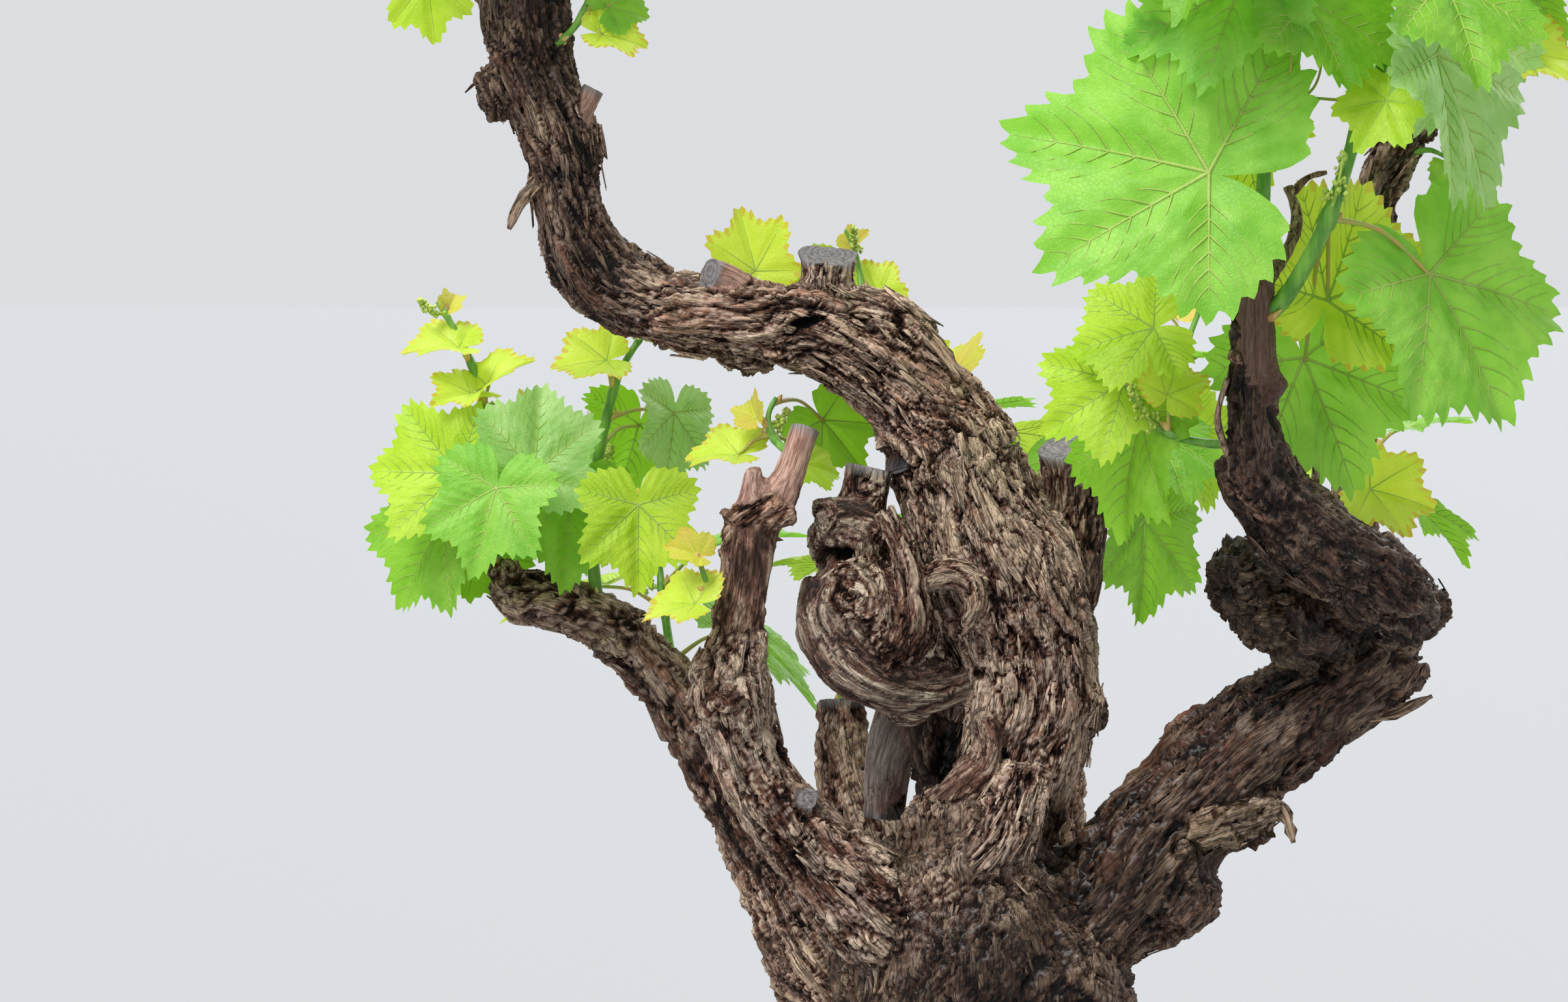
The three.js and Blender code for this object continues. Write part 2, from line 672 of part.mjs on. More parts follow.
// A shoot is one body: its stem cut clear of its bough, and each leaf that keeps
// clear of the limbs and of the shoots before it.
function growShoot(shoot, seed, limbs, others) {
  const stem = stemSolid(shoot.stem, shoot.radius, shoot.radius * SHOOT_TAPER, SHOOT_SIDES,
    SHOOT_RING_STEP);
  let whole = mainBody(stem.subtract(limbs.get(shoot.bough).grown));
  const leaves = [...shoot.posed.map(posedLeaf), ...grownLeaves(shoot, seed)];
  leaves.forEach((leaf) => {
    const piece = bladeSolid(leaf).add(petioleSolid(shoot.stem, leaf));
    const taken = [...limbs.values()].some((limb) => touches(piece, limb.grown))
      || others.some((other) => touches(piece, other));
    if (!taken) {
      whole = whole.add(piece);
    }
  });
  return mainBody(whole.simplify(CUT_TOLERANCE));
}

const limbs = growLimbs();
const vine = new THREE.Group();
vine.name = 'grapevine';
const wood = new THREE.Group();
const foliage = new THREE.Group();
vine.add(wood, foliage);

limbs.forEach((limb, name) => {
  wood.add(meshOf(name, limb.solid, CANES.includes(name) ? CANE : BARK));
});

const shoots = [];
SHOOTS.forEach((shoot, seed) => {
  const solid = growShoot(shoot, seed + 1, limbs, shoots);
  shoots.push(solid);
  foliage.add(meshOf(shoot.name, solid, LEAF));
});

export default vine;
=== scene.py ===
# An old grapevine in early leaf: its bark, leaves and shoots over the plain solids.
from itertools import product
import math

import bpy
import numpy as np
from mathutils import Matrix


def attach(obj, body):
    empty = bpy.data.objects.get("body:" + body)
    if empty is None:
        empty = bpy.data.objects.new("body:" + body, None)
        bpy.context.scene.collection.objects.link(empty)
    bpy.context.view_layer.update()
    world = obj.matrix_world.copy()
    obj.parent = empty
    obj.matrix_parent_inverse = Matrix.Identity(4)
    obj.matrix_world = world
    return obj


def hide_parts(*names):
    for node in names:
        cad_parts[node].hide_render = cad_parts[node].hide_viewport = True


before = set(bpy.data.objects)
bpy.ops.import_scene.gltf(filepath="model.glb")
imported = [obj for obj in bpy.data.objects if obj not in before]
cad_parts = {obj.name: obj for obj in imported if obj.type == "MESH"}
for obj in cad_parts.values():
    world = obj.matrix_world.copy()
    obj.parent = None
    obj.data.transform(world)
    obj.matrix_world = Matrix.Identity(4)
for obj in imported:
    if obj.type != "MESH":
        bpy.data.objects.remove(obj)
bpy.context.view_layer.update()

# Lengths are in millimetres up to the point where a mesh is made.
MM = 0.001
# The skin's voxel size, how often it is blended, and its overlap on the next grade.
SKINS = {"near": (0.9, 16, 0.0), "middle": (1.45, 8, 1.5), "far": (2.2, 3, 3.0)}
NEAR_PIECES = ("neck_bark", "s_arm_bark")
# How far apart a limb's stations lie for the bark and for the body, and the body's sides.
COURSE_STEP = 3.0
RING_STEP = 4.0
RING_SIDES = 28
# How uneven a body is, and the flare at the trunk's foot: its height, share and roots.
BARK_RELIEF = 0.07
FLARE_HEIGHT = 70
FLARE_SHARE = 0.2
FLARE_ROOTS = 5
# A pruned end's face: how deep below it, how far above it and how many radii wide the
# wood is pressed flat.
CUT_DEPTH = 3.5
CUT_RISE = 6
CUT_WIDTH = 1.1
# Borders between two kinds of bark: how far they fade, and how far they stray.
LOOK_BLEND = 3.0
STRAY = 2.4
# Points that are worked on at a time.
BATCH = 8192
# The finer grades cover the wood above this height and in front of this depth.
FINE_ABOVE = 228
FINE_BEFORE = 62


def limb(piece, bark, look, path, lumps=(), cut=False):
    """One limb. A path's rows are x, y, z and radius, lumps are the burls fused on, and
    the look is how grey, how red and how dark and wet the bark is. A cut is the way that
    a pruned end faces, or True for the way that the limb runs."""
    return {"piece": piece, "bark": bark, "look": look, "path": path, "lumps": lumps, "cut": cut}


LIMBS = {
    "trunk": limb("trunk_bark", "plates", (0.4, 0.3, 0.6), [
        (0, 0, 0, 56), (-7, 4, 55, 46), (-13, 7, 115, 41), (-9, 5, 170, 43), (0, 1, 222, 50),
        (2, 0, 268, 54), (0, 0, 303, 46), (0, 0, 322, 26)],
        lumps=[(22, 18, 176, 27), (30, -22, 266, 30)]),
    "main_stem": limb("neck_bark", "plates", (0.4, 0.35, 0.0), [
        (0, 0, 285, 31), (-1, -1, 312, 28), (10, -2, 344, 26), (20, 0, 380, 26.5), (14, 0, 415, 30.5),
        (1, 0, 443, 28.5), (-7, 0, 467, 25)],
        lumps=[(36, -8, 374, 13)]),
    "burl": limb("neck_bark", "whorl", (0.8, 0.12, 0.0), [
        (-47, -11, 430, 14), (-45, -10, 447, 10.5), (-41, -8, 465, 8.6)],
        lumps=[(-42, -12, 408, 27), (-48, -12, 438, 16), (-24, -10, 383, 16)], cut=True),
    "hanging_stub": limb("neck_bark", "smooth", (1.0, 0.2, 0.1), [
        (0, 10, 404, 12), (-19, 19, 385, 11.5), (-32, 24, 354, 10), (-35, 24, 326, 8.4)], cut=True),
    "dead_stub": limb("neck_bark", "dead", (0.1, 0.45, 0.5), [
        (28, 12, 380, 9), (38, 14, 416, 10.5), (38, 12, 443, 12), (36, 10, 473, 12.5)],
        cut=(-0.2, -0.3, 1)),
    "s_arm_low": limb("s_arm_bark", "strands", (0.3, 0.5, 0.05), [
        (-7, 0, 466, 24.6), (-17, 0, 484, 22), (-35, -1, 502, 18.6), (-55, -2, 515, 17.3),
        (-80, -1, 521, 16.6), (-105, 1, 523, 15.4), (-123, 2, 526, 14.4)],
        lumps=[(-60, -2, 522, 14)]),
    "s_arm_rise": limb("s_arm_bark", "strands", (0.15, 0.6, 0.6), [
        (-121, 2, 526, 14.2), (-139, 2, 535, 14.8), (-151, 0, 550, 15.2), (-156, -2, 572, 13.4),
        (-161, -2, 594, 14.2), (-170, 0, 618, 14.8), (-173, 1, 644, 16), (-175, 0, 668, 13.5),
        (-174, 0, 688, 9)],
        lumps=[(-182, -3, 608, 10), (-183, 2, 648, 10)]),
    "large_cut_stub": limb("s_arm_bark", "plates", (0.6, 0.2, 0.0), [
        (-57, -1, 522, 12), (-58, -1, 536, 11), (-57, 0, 547, 11.4)], cut=(0.05, -0.42, 1)),
    "small_cut_stub": limb("s_arm_bark", "smooth", (0.3, 0.3, 0.1), [
        (-97, 0, 528, 5.5), (-101, -1, 541, 4.6)], cut=True),
    "side_stub": limb("s_arm_bark", "smooth", (0.4, 0.4, 0.1), [
        (-160, -3, 588, 5), (-152, -5, 598, 4.8), (-146, -5, 609, 4)], cut=True),
    "left_arm": limb("left_arm_bark", "shreds", (0.55, 0.3, 0.0), [
        (-22, -16, 284, 23), (-43, -22, 301, 20), (-61, -24, 319, 17.3), (-76, -24, 338, 15),
        (-87, -26, 358, 14.4), (-93, -28, 382, 15.8), (-92, -29, 404, 10.6), (-88, -30, 424, 8.4),
        (-87, -30, 443, 10.4)],
        lumps=[(-94, -30, 380, 16)]),
    "left_cane": limb("left_arm_bark", "smooth", (0.35, 0.7, 0.0), [
        (-84, -30, 445, 8), (-76, -28, 456, 7.2), (-71, -26, 466, 6), (-66, -22, 481, 5.8)], cut=True),
    "left_dead_tip": limb("left_arm_bark", "smooth", (0.6, 0.3, 0.0), [
        (-88, -31, 446, 6), (-86, -31, 457, 5), (-85, -32, 467, 3.4)]),
    "back_left_arm": limb("left_arm_bark", "strands", (0.25, 0.4, 0.35), [
        (-36, 22, 236, 17), (-62, 46, 260, 15.6), (-80, 70, 294, 13.6), (-103, 83, 338, 12.6),
        (-124, 88, 372, 12.6), (-144, 90, 394, 13.2), (-168, 90, 404, 11.6), (-185, 90, 408, 10.4),
        (-192, 90, 421, 5)],
        lumps=[(-141, 88, 391, 14.5)]),
    "right_arm": limb("right_arm_bark", "shreds", (0.2, 0.6, 0.65), [
        (22, -4, 276, 28), (52, -6, 301, 26), (77, -8, 330, 24), (101, -8, 355, 24),
        (122, -10, 372, 22.8), (143, -14, 389, 21.6), (156, -18, 403, 20)],
        lumps=[(96, -10, 336, 20), (70, -9, 304, 23)]),
    "right_knob": limb("right_arm_bark", "crumbs", (0.5, 0.15, 0.75), [
        (128, -34, 404, 17), (112, -42, 414, 18), (96, -48, 417, 15)],
        lumps=[(150, -21, 413, 22), (168, -14, 412, 13), (126, -35, 417, 20), (97, -46, 424, 15)]),
    "front_spur": limb("right_arm_bark", "plates", (0.25, 0.5, 0.7), [
        (160, -46, 412, 12), (150, -58, 420, 15.5), (134, -74, 432, 18), (113, -86, 446, 16.4),
        (98, -96, 464, 13.6), (93, -102, 487, 9.6), (92, -105, 511, 7.8), (91, -108, 537, 7)]),
    "front_dead_tip": limb("right_arm_bark", "dead", (0.1, 0.4, 0.8), [
        (98, -92, 450, 8.4), (90, -92, 462, 6.6), (84, -92, 475, 4.4)]),
    "back_spur": limb("right_arm_bark", "strands", (0.2, 0.5, 0.5), [
        (148, -4, 420, 10), (146, 4, 442, 9), (148, 9, 474, 7.8), (152, 13, 505, 7.4),
        (152, 12, 538, 7.4), (153, 5, 568, 9), (161, 0, 588, 9.6), (176, -2, 606, 6),
        (190, -2, 623, 4.4)]),
    "rear_arm": limb("trunk_bark", "strands", (0.4, 0.4, 0.1), [
        (12, 28, 268, 23), (29, 74, 300, 19), (35, 114, 338, 15.8), (40, 140, 376, 13.6),
        (45, 153, 410, 11.8), (47, 158, 440, 9.4)]),
    "rear_left_stub": limb("trunk_bark", "plates", (0.4, 0.4, 0.1), [
        (-18, 34, 272, 16), (-38, 76, 306, 12.8), (-49, 97, 342, 11), (-50, 101, 363, 8.6)], cut=True),
}

# Folds, lips and scabs of the wood that the plain solids leave out, swept as the limbs are.
FOLDS = {
    "lip": limb("neck_bark", "callus", (0.6, 0.3, 0.0), [
        (-21, -2, 306, 10), (-20, -6, 320, 10.5), (-15, -12, 333, 10.5), (-5, -18, 344, 9),
        (3, -23, 354, 6.5), (5, -25, 363, 5), (2, -25, 372, 4)]),
    # Painted shade: the niche at the back of the neck is made dark by its high wet share.
    "niche_back": limb("neck_bark", "dead", (0.1, 0.3, 0.9), [
        (-10, 6, 330, 13), (-12, 8, 350, 12), (-16, 8, 374, 12)]),
    "hook": limb("neck_bark", "whorl", (0.5, 0.3, 0.0), [
        (-26, -24, 417, 4), (-21, -27, 424, 5), (-13, -28, 427, 5.5), (-5, -27, 424, 6),
        (-2, -27.5, 416, 5.5), (-5, -27, 408, 4.5), (-9, -26, 402, 3)]),
    "snout": limb("neck_bark", "callus", (0.9, 0.1, 0.0), [
        (-42, -14, 443, 9), (-53, -19, 447, 9), (-60, -21, 446, 8.5)]),
    "belly": limb("neck_bark", "callus", (0.9, 0.15, 0.0), [
        (-59, -19, 424, 7), (-61, -21, 410, 8.5), (-56, -25, 396, 9.5), (-46, -26, 387, 9.5),
        (-32, -24, 381, 8.5), (-19, -20, 380, 7), (-8, -13, 382, 6), (2, -6, 386, 5)]),
    "burl_rim": limb("neck_bark", "whorl", (0.6, 0.4, 0.0), [
        (-36, -26, 450, 4.5), (-30, -30, 438, 5.5), (-26, -32, 422, 5.5), (-25, -33, 408, 6),
        (-30, -34, 396, 5)]),
    "shoulder": limb("s_arm_bark", "strands", (0.4, 0.4, 0.0), [
        (-58, -1, 523, 12), (-46, -3, 523, 11.5), (-35, -4, 519, 12), (-25, -4, 509, 13)]),
    "chamfered_peg": limb("s_arm_bark", "smooth", (0.4, 0.4, 0.1), [
        (-88, -3, 531, 6.5), (-95, -6, 537, 6), (-102, -9, 540, 5.6)], cut=(-0.8, -0.6, 0.2)),
    "under_scab": limb("s_arm_bark", "crumbs", (0.3, 0.2, 0.75), [
        (-97, -3, 508, 3.4), (-88, -4, 504.5, 3.6), (-80, -3, 504, 3.2), (-74, -2, 506, 2.4)]),
    "front_cane": limb("right_arm_bark", "smooth", (0.1, 0.6, 1.0), [
        (94, -103, 496, 9.3), (92.5, -105, 511, 8.2), (92, -107, 524, 7.6), (91, -108, 538, 7.3)],
        lumps=[(88, -105, 498, 6), (100, -105, 501, 5), (92, -108, 534, 8)]),
    "left_sleeve": limb("left_arm_bark", "callus", (0.5, 0.65, 0.0), [
        (-92, -30, 408, 10.4), (-89, -31, 422, 9.6), (-87, -31, 440, 10.6)]),
    "left_node": limb("left_arm_bark", "whorl", (0.1, 0.9, 0.45), [
        (-91, -31, 442, 8.5), (-86, -31, 446, 9), (-79, -30, 451, 8)],
        lumps=[(-73, -33, 449, 4.5), (-95, -33, 437, 5), (-72, -30, 457, 4)]),
    "old_cut": limb("left_arm_bark", "callus", (0.7, 0.3, 0.0), [
        (-66, -26, 338, 6), (-65, -39, 343, 4.2)], cut=(-0.1, -1, 0.4)),
    "arm_scab": limb("right_arm_bark", "crumbs", (0.5, 0.3, 0.45), [
        (78, -28, 326, 7), (92, -30, 331, 8.5), (106, -27, 336, 8), (116, -24, 338, 4.5)]),
    "base_twist": limb("neck_bark", "strands", (0.5, 0.35, 0.0), [
        (-22, -20, 300, 11), (-11, -28, 307, 13), (2, -31, 319, 13.5), (12, -29, 335, 12),
        (18, -25, 354, 8)]),
    "spur_knots": limb("right_arm_bark", "plates", (0.4, 0.55, 0.5), [
        (104, -98, 452, 9), (92, -100, 462, 8), (85, -100, 470, 5)],
        lumps=[(126, -92, 436, 9), (150, -70, 428, 10), (112, -100, 444, 8)]),
}
SWEEPS = {**LIMBS, **FOLDS}
# Spots of painted shade in crotches, round hollows and below overhanging wood; they raise the wet
# reading, which darkens and glosses the bark: x, y, z, reach and strength.
PAINTED_SHADE_SPOTS = [
    (48, -22, 318, 32, 1.3),
    (10, -52, 282, 34, 0.8),
    (-14, -34, 372, 14, 0.6),
    (-30, -30, 382, 10, 0.6),
    (-6, 0, 350, 20, 0.9),
    (60, -10, 366, 18, 0.8),
    (-20, -48, 252, 24, 0.5),
]

# Dry twigs on the spurs, and strips of bark that hang loose: x, y, z and half width.
DRY_TWIGS = [
    [(94, -106, 534, 3.0), (101, -101, 543, 2.5), (107, -96, 552, 2.2), (109, -92, 561, 1.9),
     (106, -90, 571, 1.5)],
    [(107, -91, 568, 1.5), (113, -90, 574, 1.2), (120, -89, 576, 0.9)],
    [(116, -80, 448, 1.9), (120, -68, 462, 1.6), (121, -61, 478, 1.3), (121, -60, 490, 1.2),
     (120, -59, 503, 0.8)],
    [(113, -60, 486, 0.9), (121, -60.5, 487, 1.3), (133, -58, 488, 0.9)],
    [(92, -106, 508, 2.8), (87, -108, 510, 2.2), (83.5, -109, 511.5, 1.7)],
    [(86, -98, 472, 1.6), (80, -104, 488, 1.2), (83, -107, 503, 1.0)],
    [(-150, 84, 400, 1.4), (-158, 76, 411, 1.1), (-163, 74, 424, 0.8)],
    [(30, 120, 350, 1.6), (20, 128, 362, 1.2), (14, 138, 378, 0.8)],
]
LOOSE_STRIPS = [
    [(146, -22, 371, 2.6), (158, -26, 374, 2.4), (171, -27, 380, 0.8)],
    [(110, -24, 341, 2.4), (116, -27, 334, 2.8), (119, -27, 324, 0.9)],
    [(-167, -12, 574, 2.6), (-174, -15, 565, 2.6), (-178, -13, 556, 0.8)],
    [(-24, -12, 520, 2.4), (-15, -16, 511, 3), (-7, -19, 500, 1)],
]

# Hollows in the wood: both ends, radius and depth. Their insides are darkened with painted shade.
HOLLOWS = [
    ((-13, -8, 346), (-11, -12, 366), 9, 6),
    ((-14, -28, 415), (-11, -28, 402), 4, 6),
    ((-62, -20, 434), (-44, -34, 434), 2.6, 4),
    ((-32, -12, 468), (-27, -18, 444), 3.4, 8),
    ((-27, -18, 444), (-22, -26, 432), 3, 6),
    ((12, -29, 468), (12, -31, 452), 3, 6),
    ((-14, -30, 397), (-4, -28, 391), 4, 5),
    ((-34, -36, 379), (-28, -34, 377), 3, 3),
    ((-60, -20, 524), (-72, -18, 518), 3, 3),
    ((-40, -20, 521), (-34, -20, 517), 4, 5),
]

# Each kind of bark: the width and length of a plate, its height, the fissures' depth, the
# thickness of one layer, the swell of the wood under it and the turn of the fibres per mm.
BARKS = {
    "plates": (5.2, 26, 1.7, 2.0, 0.7, 1.5, 0.004),
    "strands": (4.2, 36, 1.6, 2.4, 0.6, 1.5, 0.012),
    "shreds": (5.6, 32, 1.8, 2.4, 0.7, 1.9, 0.006),
    "whorl": (4.0, 26, 0.7, 1.1, 0.35, 1.0, 0.0),
    "callus": (5.0, 40, 0.45, 0.8, 0.3, 0.7, 0.0),
    "crumbs": (6.0, 7, 2.4, 2.4, 0.8, 2.4, 0.0),
    "dead": (3.4, 24, 0.7, 1.1, 0.3, 1.2, 0.004),
    "smooth": (3.0, 40, 0.15, 0.25, 0.14, 0.35, 0.0),
}

# Round whorls in the grain: centre, the way it faces and radius.
WHORLS = [
    ((-50, -38, 419), (-0.4, -1, 0.1), 11),
    ((-62, -26, 447), (-0.7, -0.7, 0.2), 9),
    ((-43, -20, 461), (-0.4, -0.9, 0.3), 8),
    ((126, -50, 414), (0, -1, -0.2), 14),
    ((-100, -44, 378), (-0.3, -1, 0), 9),
    ((40, 40, 180), (0.5, 0.8, 0), 16),
]


# The leafy shoots: name, stem radius, stem rows, posed leaves (x, y, z of the petiole's
# end, the midrib's length, the bearing and height that the face looks at and the clock
# angle of the tip, in degrees), the posed leaves' tints, and the leaves grown by rule
# (count, first share of the stem, size, spin).
SHOOTS = [
    ("shoot_left_tip", 2.6,
     [(-191, 90, 414), (-194, 88, 452), (-195, 88, 479), (-203, 90, 506), (-215, 92, 527)],
     [(-205, 70, 458, 42, -16, 12, -88), (-212, 86, 438, 43, -30, 14, -148),
      (-200, 106, 424, 26, 10, 30, 150), (-206, 84, 508, 23, 10, 64, -80),
      (-194, 82, 493, 22, -56, 44, 32), (-201, 80, 490, 20, 36, 62, -100),
      (-211, 94, 524, 10, 20, 40, 30)], "lggyyyt", None),
    ("shoot_left_middle", 2.4, [(-163, 92, 408), (-168, 92, 436), (-175, 88, 456), (-180, 82, 472)],
     [(-178, 86, 479, 14, 20, 40, 20), (-168, 108, 448, 34, 160, 30, 150)], "tg", None),
    ("shoot_left_upright", 2.8,
     [(-150, 90, 400), (-153, 87, 438), (-150, 86, 462), (-142, 88, 495), (-132, 92, 513)],
     [(-174, 60, 459, 38, 6, 16, 6), (-188, 46, 454, 37, -12, 18, -168),
      (-160, 72, 448, 38, 4, 22, -176), (-132, 50, 447, 35, 2, 12, 180),
      (-119, 88, 482, 30, 46, 10, -168), (-146, 84, 503, 23, 8, 46, -92),
      (-130, 96, 514, 16, 40, 30, 60), (-134, 112, 476, 36, 170, 34, 160)], "pbglpytg", None),
    ("shoot_left_rear", 2.6, [(-112, 90, 352), (-120, 124, 372), (-126, 152, 404), (-130, 168, 442)],
     [], "", (5, 0.42, 44, 350)),
    ("shoot_left_bud", 1.7, [(-92, -31, 428), (-101, -37, 422), (-105, -39, 430)],
     [(-107, -42, 416, 23, -30, 52, -84), (-106, -38, 434, 14, 0, 30, -70)], "yt", None),
    ("shoot_cane", 1.8, [(-70, -25, 470), (-78, -13, 477), (-80, -9, 485), (-77, -7, 492)],
     [(-59, 24, 482, 26, 12, 12, 140), (-91, -10, 470, 23, -14, 62, -84),
      (-84, -13, 484, 13, -40, 30, -44), (-66, 4, 466, 16, 30, 40, 108)], "gytl", None),
    ("shoot_arm_leaf", 1.4, [(-92, 8, 528), (-89, 23, 538), (-85, 25, 548)],
     [(-85, 20, 540, 26, 2, 6, -14)], "y", None),
    ("shoot_arm_rear", 1.6, [(-46, 8, 514), (-44, 26, 532), (-46, 30, 546), (-50, 31, 556)],
     [(-37, 30, 530, 17, 14, 20, -16), (-30, 34, 526, 10, 40, 30, 80),
      (-47, 34, 549, 10, -20, 30, 30), (-54, 40, 540, 20, 180, 30, 150)], "yytl", None),
    ("shoot_rise_left", 1.7, [(-176, 6, 650), (-192, 16, 660), (-206, 20, 668), (-218, 22, 684)],
     [(-211, 18, 652, 25, -10, 12, 172), (-222, 26, 690, 14, -40, 40, -60),
      (-208, 30, 682, 22, 170, 40, 120)], "lyl", None),
    ("shoot_rise_right", 1.6, [(-160, -4, 626), (-152, -8, 634), (-147, -9, 646), (-147, -8, 658)],
     [(-143, -12, 629, 19, 16, 44, 100), (-140, -8, 640, 18, 20, 20, 58),
      (-150, -12, 651, 13, -30, 30, -30)], "ygy", None),
    ("shoot_top_left", 3,
     [(-176, 0, 680), (-192, -4, 712), (-203, -8, 750), (-206, -12, 792), (-202, -14, 834)],
     [], "", (7, 0.26, 52, 258)),
    ("shoot_top_right", 2.8, [(-168, 3, 676), (-142, 8, 700), (-122, 14, 734), (-110, 18, 772)],
     [], "", (6, 0.34, 46, 280)),
    ("shoot_front_side", 2, [(91, -100, 480), (77, -87, 479), (62, -75, 484), (50, -68, 500)],
     [(60, -74, 520, 32, -12, 26, -104), (50, -64, 500, 35, -8, 18, -122),
      (58, -56, 486, 47, -56, 12, -166), (64, -84, 496, 20, 20, 30, 30)], "llgy", None),
    ("shoot_front_left", 3,
     [(91, -108, 534), (94, -110, 556), (95, -113, 586), (97, -115, 622), (94, -114, 664),
      (86, -110, 706), (76, -104, 744)],
     [(73, -132, 575, 74, -6, 14, -76), (84, -128, 640, 46, -12, 20, -118),
      (106, -132, 634, 40, 14, 26, 118), (88, -96, 596, 40, 184, 20, 150)], "bbgl",
     (5, 0.64, 48, 245)),
    ("shoot_front_right", 3.4,
     [(91, -106, 521), (102, -111, 531), (112, -116, 549), (119, -120, 567), (128, -122, 597),
      (142, -119, 630), (161, -112, 672), (178, -106, 716)],
     [(156, -96, 540, 62, 26, 16, 152), (122, -78, 530, 50, 20, 8, 26),
      (116, -62, 509, 54, 6, 10, 158), (152, -126, 616, 62, 52, 16, 150),
      (134, -132, 600, 22, 0, 30, -150)], "bybpl", (5, 0.72, 42, 300)),
    ("shoot_knob", 1.5, [(140, -22, 428), (142, -24, 446), (145, -22, 456)],
     [(147, -24, 458, 27, 4, 22, 104)], "y", None),
    ("shoot_spur_side", 1.5, [(162, -4, 584), (170, -10, 586), (177, -10, 583)],
     [(179, -9, 579, 20, 30, 24, 140)], "g", None),
    ("shoot_spur_top", 2.8,
     [(188, -2, 620), (194, -2, 637), (197, 0, 664), (194, 6, 698), (186, 12, 736)],
     [(182, -14, 628, 44, 0, 14, -144), (187, -10, 640, 27, -6, 24, -50),
      (204, -8, 622, 27, 8, 40, 92), (206, 8, 652, 36, 120, 30, 160)], "pgyg", (5, 0.5, 44, 80)),
    ("shoot_right_rear", 2.6, [(140, -2, 392), (152, 34, 414), (160, 60, 448), (164, 76, 494)],
     [], "", (5, 0.6, 40, 10)),
    ("shoot_rear_left", 2.6, [(44, 158, 436), (30, 174, 450), (10, 188, 470), (-10, 196, 496)],
     [], "", (5, 0.3, 46, 250)),
    ("shoot_rear_right", 2.6, [(49, 156, 432), (68, 156, 452), (88, 158, 486), (104, 164, 524)],
     [(78, 142, 434, 44, 40, 12, -172), (96, 150, 470, 38, 30, 20, 130)], "gl", (5, 0.45, 40, 280)),
    ("shoot_rear_stub", 2.4, [(-50, 101, 358), (-47, 110, 386), (-42, 120, 412), (-38, 126, 440)],
     [], "", (4, 0.42, 38, 280)),
]

# The outline of a blade: the angle from the midrib in degrees and the reach in midrib
# lengths. The main veins run to its lobes.
LOBES = [(0, 1.0), (22, 0.78), (46, 0.9), (74, 0.62), (104, 0.7), (158, 0.47), (180, 0.08)]
MAIN_VEINS = [(0, 0.95), (46, 0.84), (-46, 0.84), (104, 0.62), (-104, 0.62)]
# The height of a tooth at the points along it, for a fine and a plain margin.
TOOTH = {4: (0.0, 0.62, 1.0, 0.3), 3: (0.0, 1.0, 0.45)}
# How steeply leaves are folded along the midrib: young ones by tint, and all others.
FOLDED = {"y": 0.45, "t": 0.9}
OPEN_FOLD = 0.2
# How far apart side veins spring from a main vein, and the puckers between them, in
# midrib lengths.
VEIN_GAP = 0.135
# How many closed buds a flower cluster has.
CLUSTER_BUDS = 46


def scatter(cell, salt):
    """A fixed random number from 0 to 1 for each whole-numbered cell."""
    mask = np.uint64(0xFFFFFFFF)
    c = cell.astype(np.int64).astype(np.uint64)
    h = (c[..., 0] * np.uint64(374761393) + c[..., 1] * np.uint64(668265263)
         + c[..., 2] * np.uint64(1442695041) + np.uint64(salt * 974711 + 12345)) & mask
    h = ((h ^ (h >> np.uint64(15))) * np.uint64(2246822519)) & mask
    h = ((h ^ (h >> np.uint64(13))) * np.uint64(3266489917)) & mask
    return ((h ^ (h >> np.uint64(16))) & np.uint64(0xFFFFFF)) / 16777216.0


def noise(points, salt):
    """Smooth noise from -1 to 1."""
    base = np.floor(points)
    part = points - base
    part = part * part * (3 - 2 * part)
    total = 0.0
    for corner in product((0, 1), repeat=3):
        weight = np.prod(np.where(np.array(corner) == 1, part, 1 - part), axis=-1)
        total = total + weight * scatter(base + corner, salt)
    return total * 2 - 1


def rough(points, octaves, salt):
    """Noise on several scales."""
    return sum(noise(points * 2.03 ** i, salt + i) * 0.5 ** i for i in range(octaves))


def cells(points, salt):
    """The distance to the border of the cell that holds each point, the way from its
    middle and two random numbers of the cell."""
    base = np.floor(points)
    first = np.full(len(points), 9.0)
    second = first.copy()
    away = np.zeros((len(points), 3))
    home = np.zeros((len(points), 3))
    for shift in product((-1, 0, 1), repeat=3):
        cell = base + shift
        middle = cell + np.stack([scatter(cell, salt + k) for k in (1, 2, 3)], axis=-1)
        step = points - middle
        distance = np.sqrt((step * step).sum(axis=1))
        closer = distance < first
        second = np.where(closer, first, np.minimum(second, distance))
        first = np.where(closer, distance, first)
        away[closer] = step[closer]
        home[closer] = cell[closer]
    return second - first, away, scatter(home, salt + 4), scatter(home, salt + 5)


def ease(low, high, value):
    """Rises smoothly from 0 at low to 1 at high."""
    part = np.clip((value - low) / (high - low), 0, 1)
    return part * part * (3 - 2 * part)


def unit(vectors):
    return vectors / np.maximum(np.linalg.norm(vectors, axis=-1, keepdims=True), 1e-9)


def dots(a, b):
    return (a * b).sum(axis=-1)


def along(path, share):
    """Rows of the smooth curve through a path's rows, at shares from 0 to 1."""
    rows = np.array(path, float)
    spans = len(rows) - 1
    place = np.atleast_1d(share) * spans
    span = np.minimum(place.astype(int), spans - 1)
    s = (place - span)[:, None]
    before = rows[np.maximum(span - 1, 0)]
    start = rows[span]
    end = rows[span + 1]
    after = rows[np.minimum(span + 2, spans)]
    return 0.5 * (2 * start + (end - before) * s + (2 * before - 5 * start + 4 * end - after) * s ** 2
                  + (3 * start - before - 3 * end + after) * s ** 3)


def path_length(path):
    rows = np.array(path, float)[:, :3]
    return np.linalg.norm(np.diff(rows, axis=0), axis=1).sum()


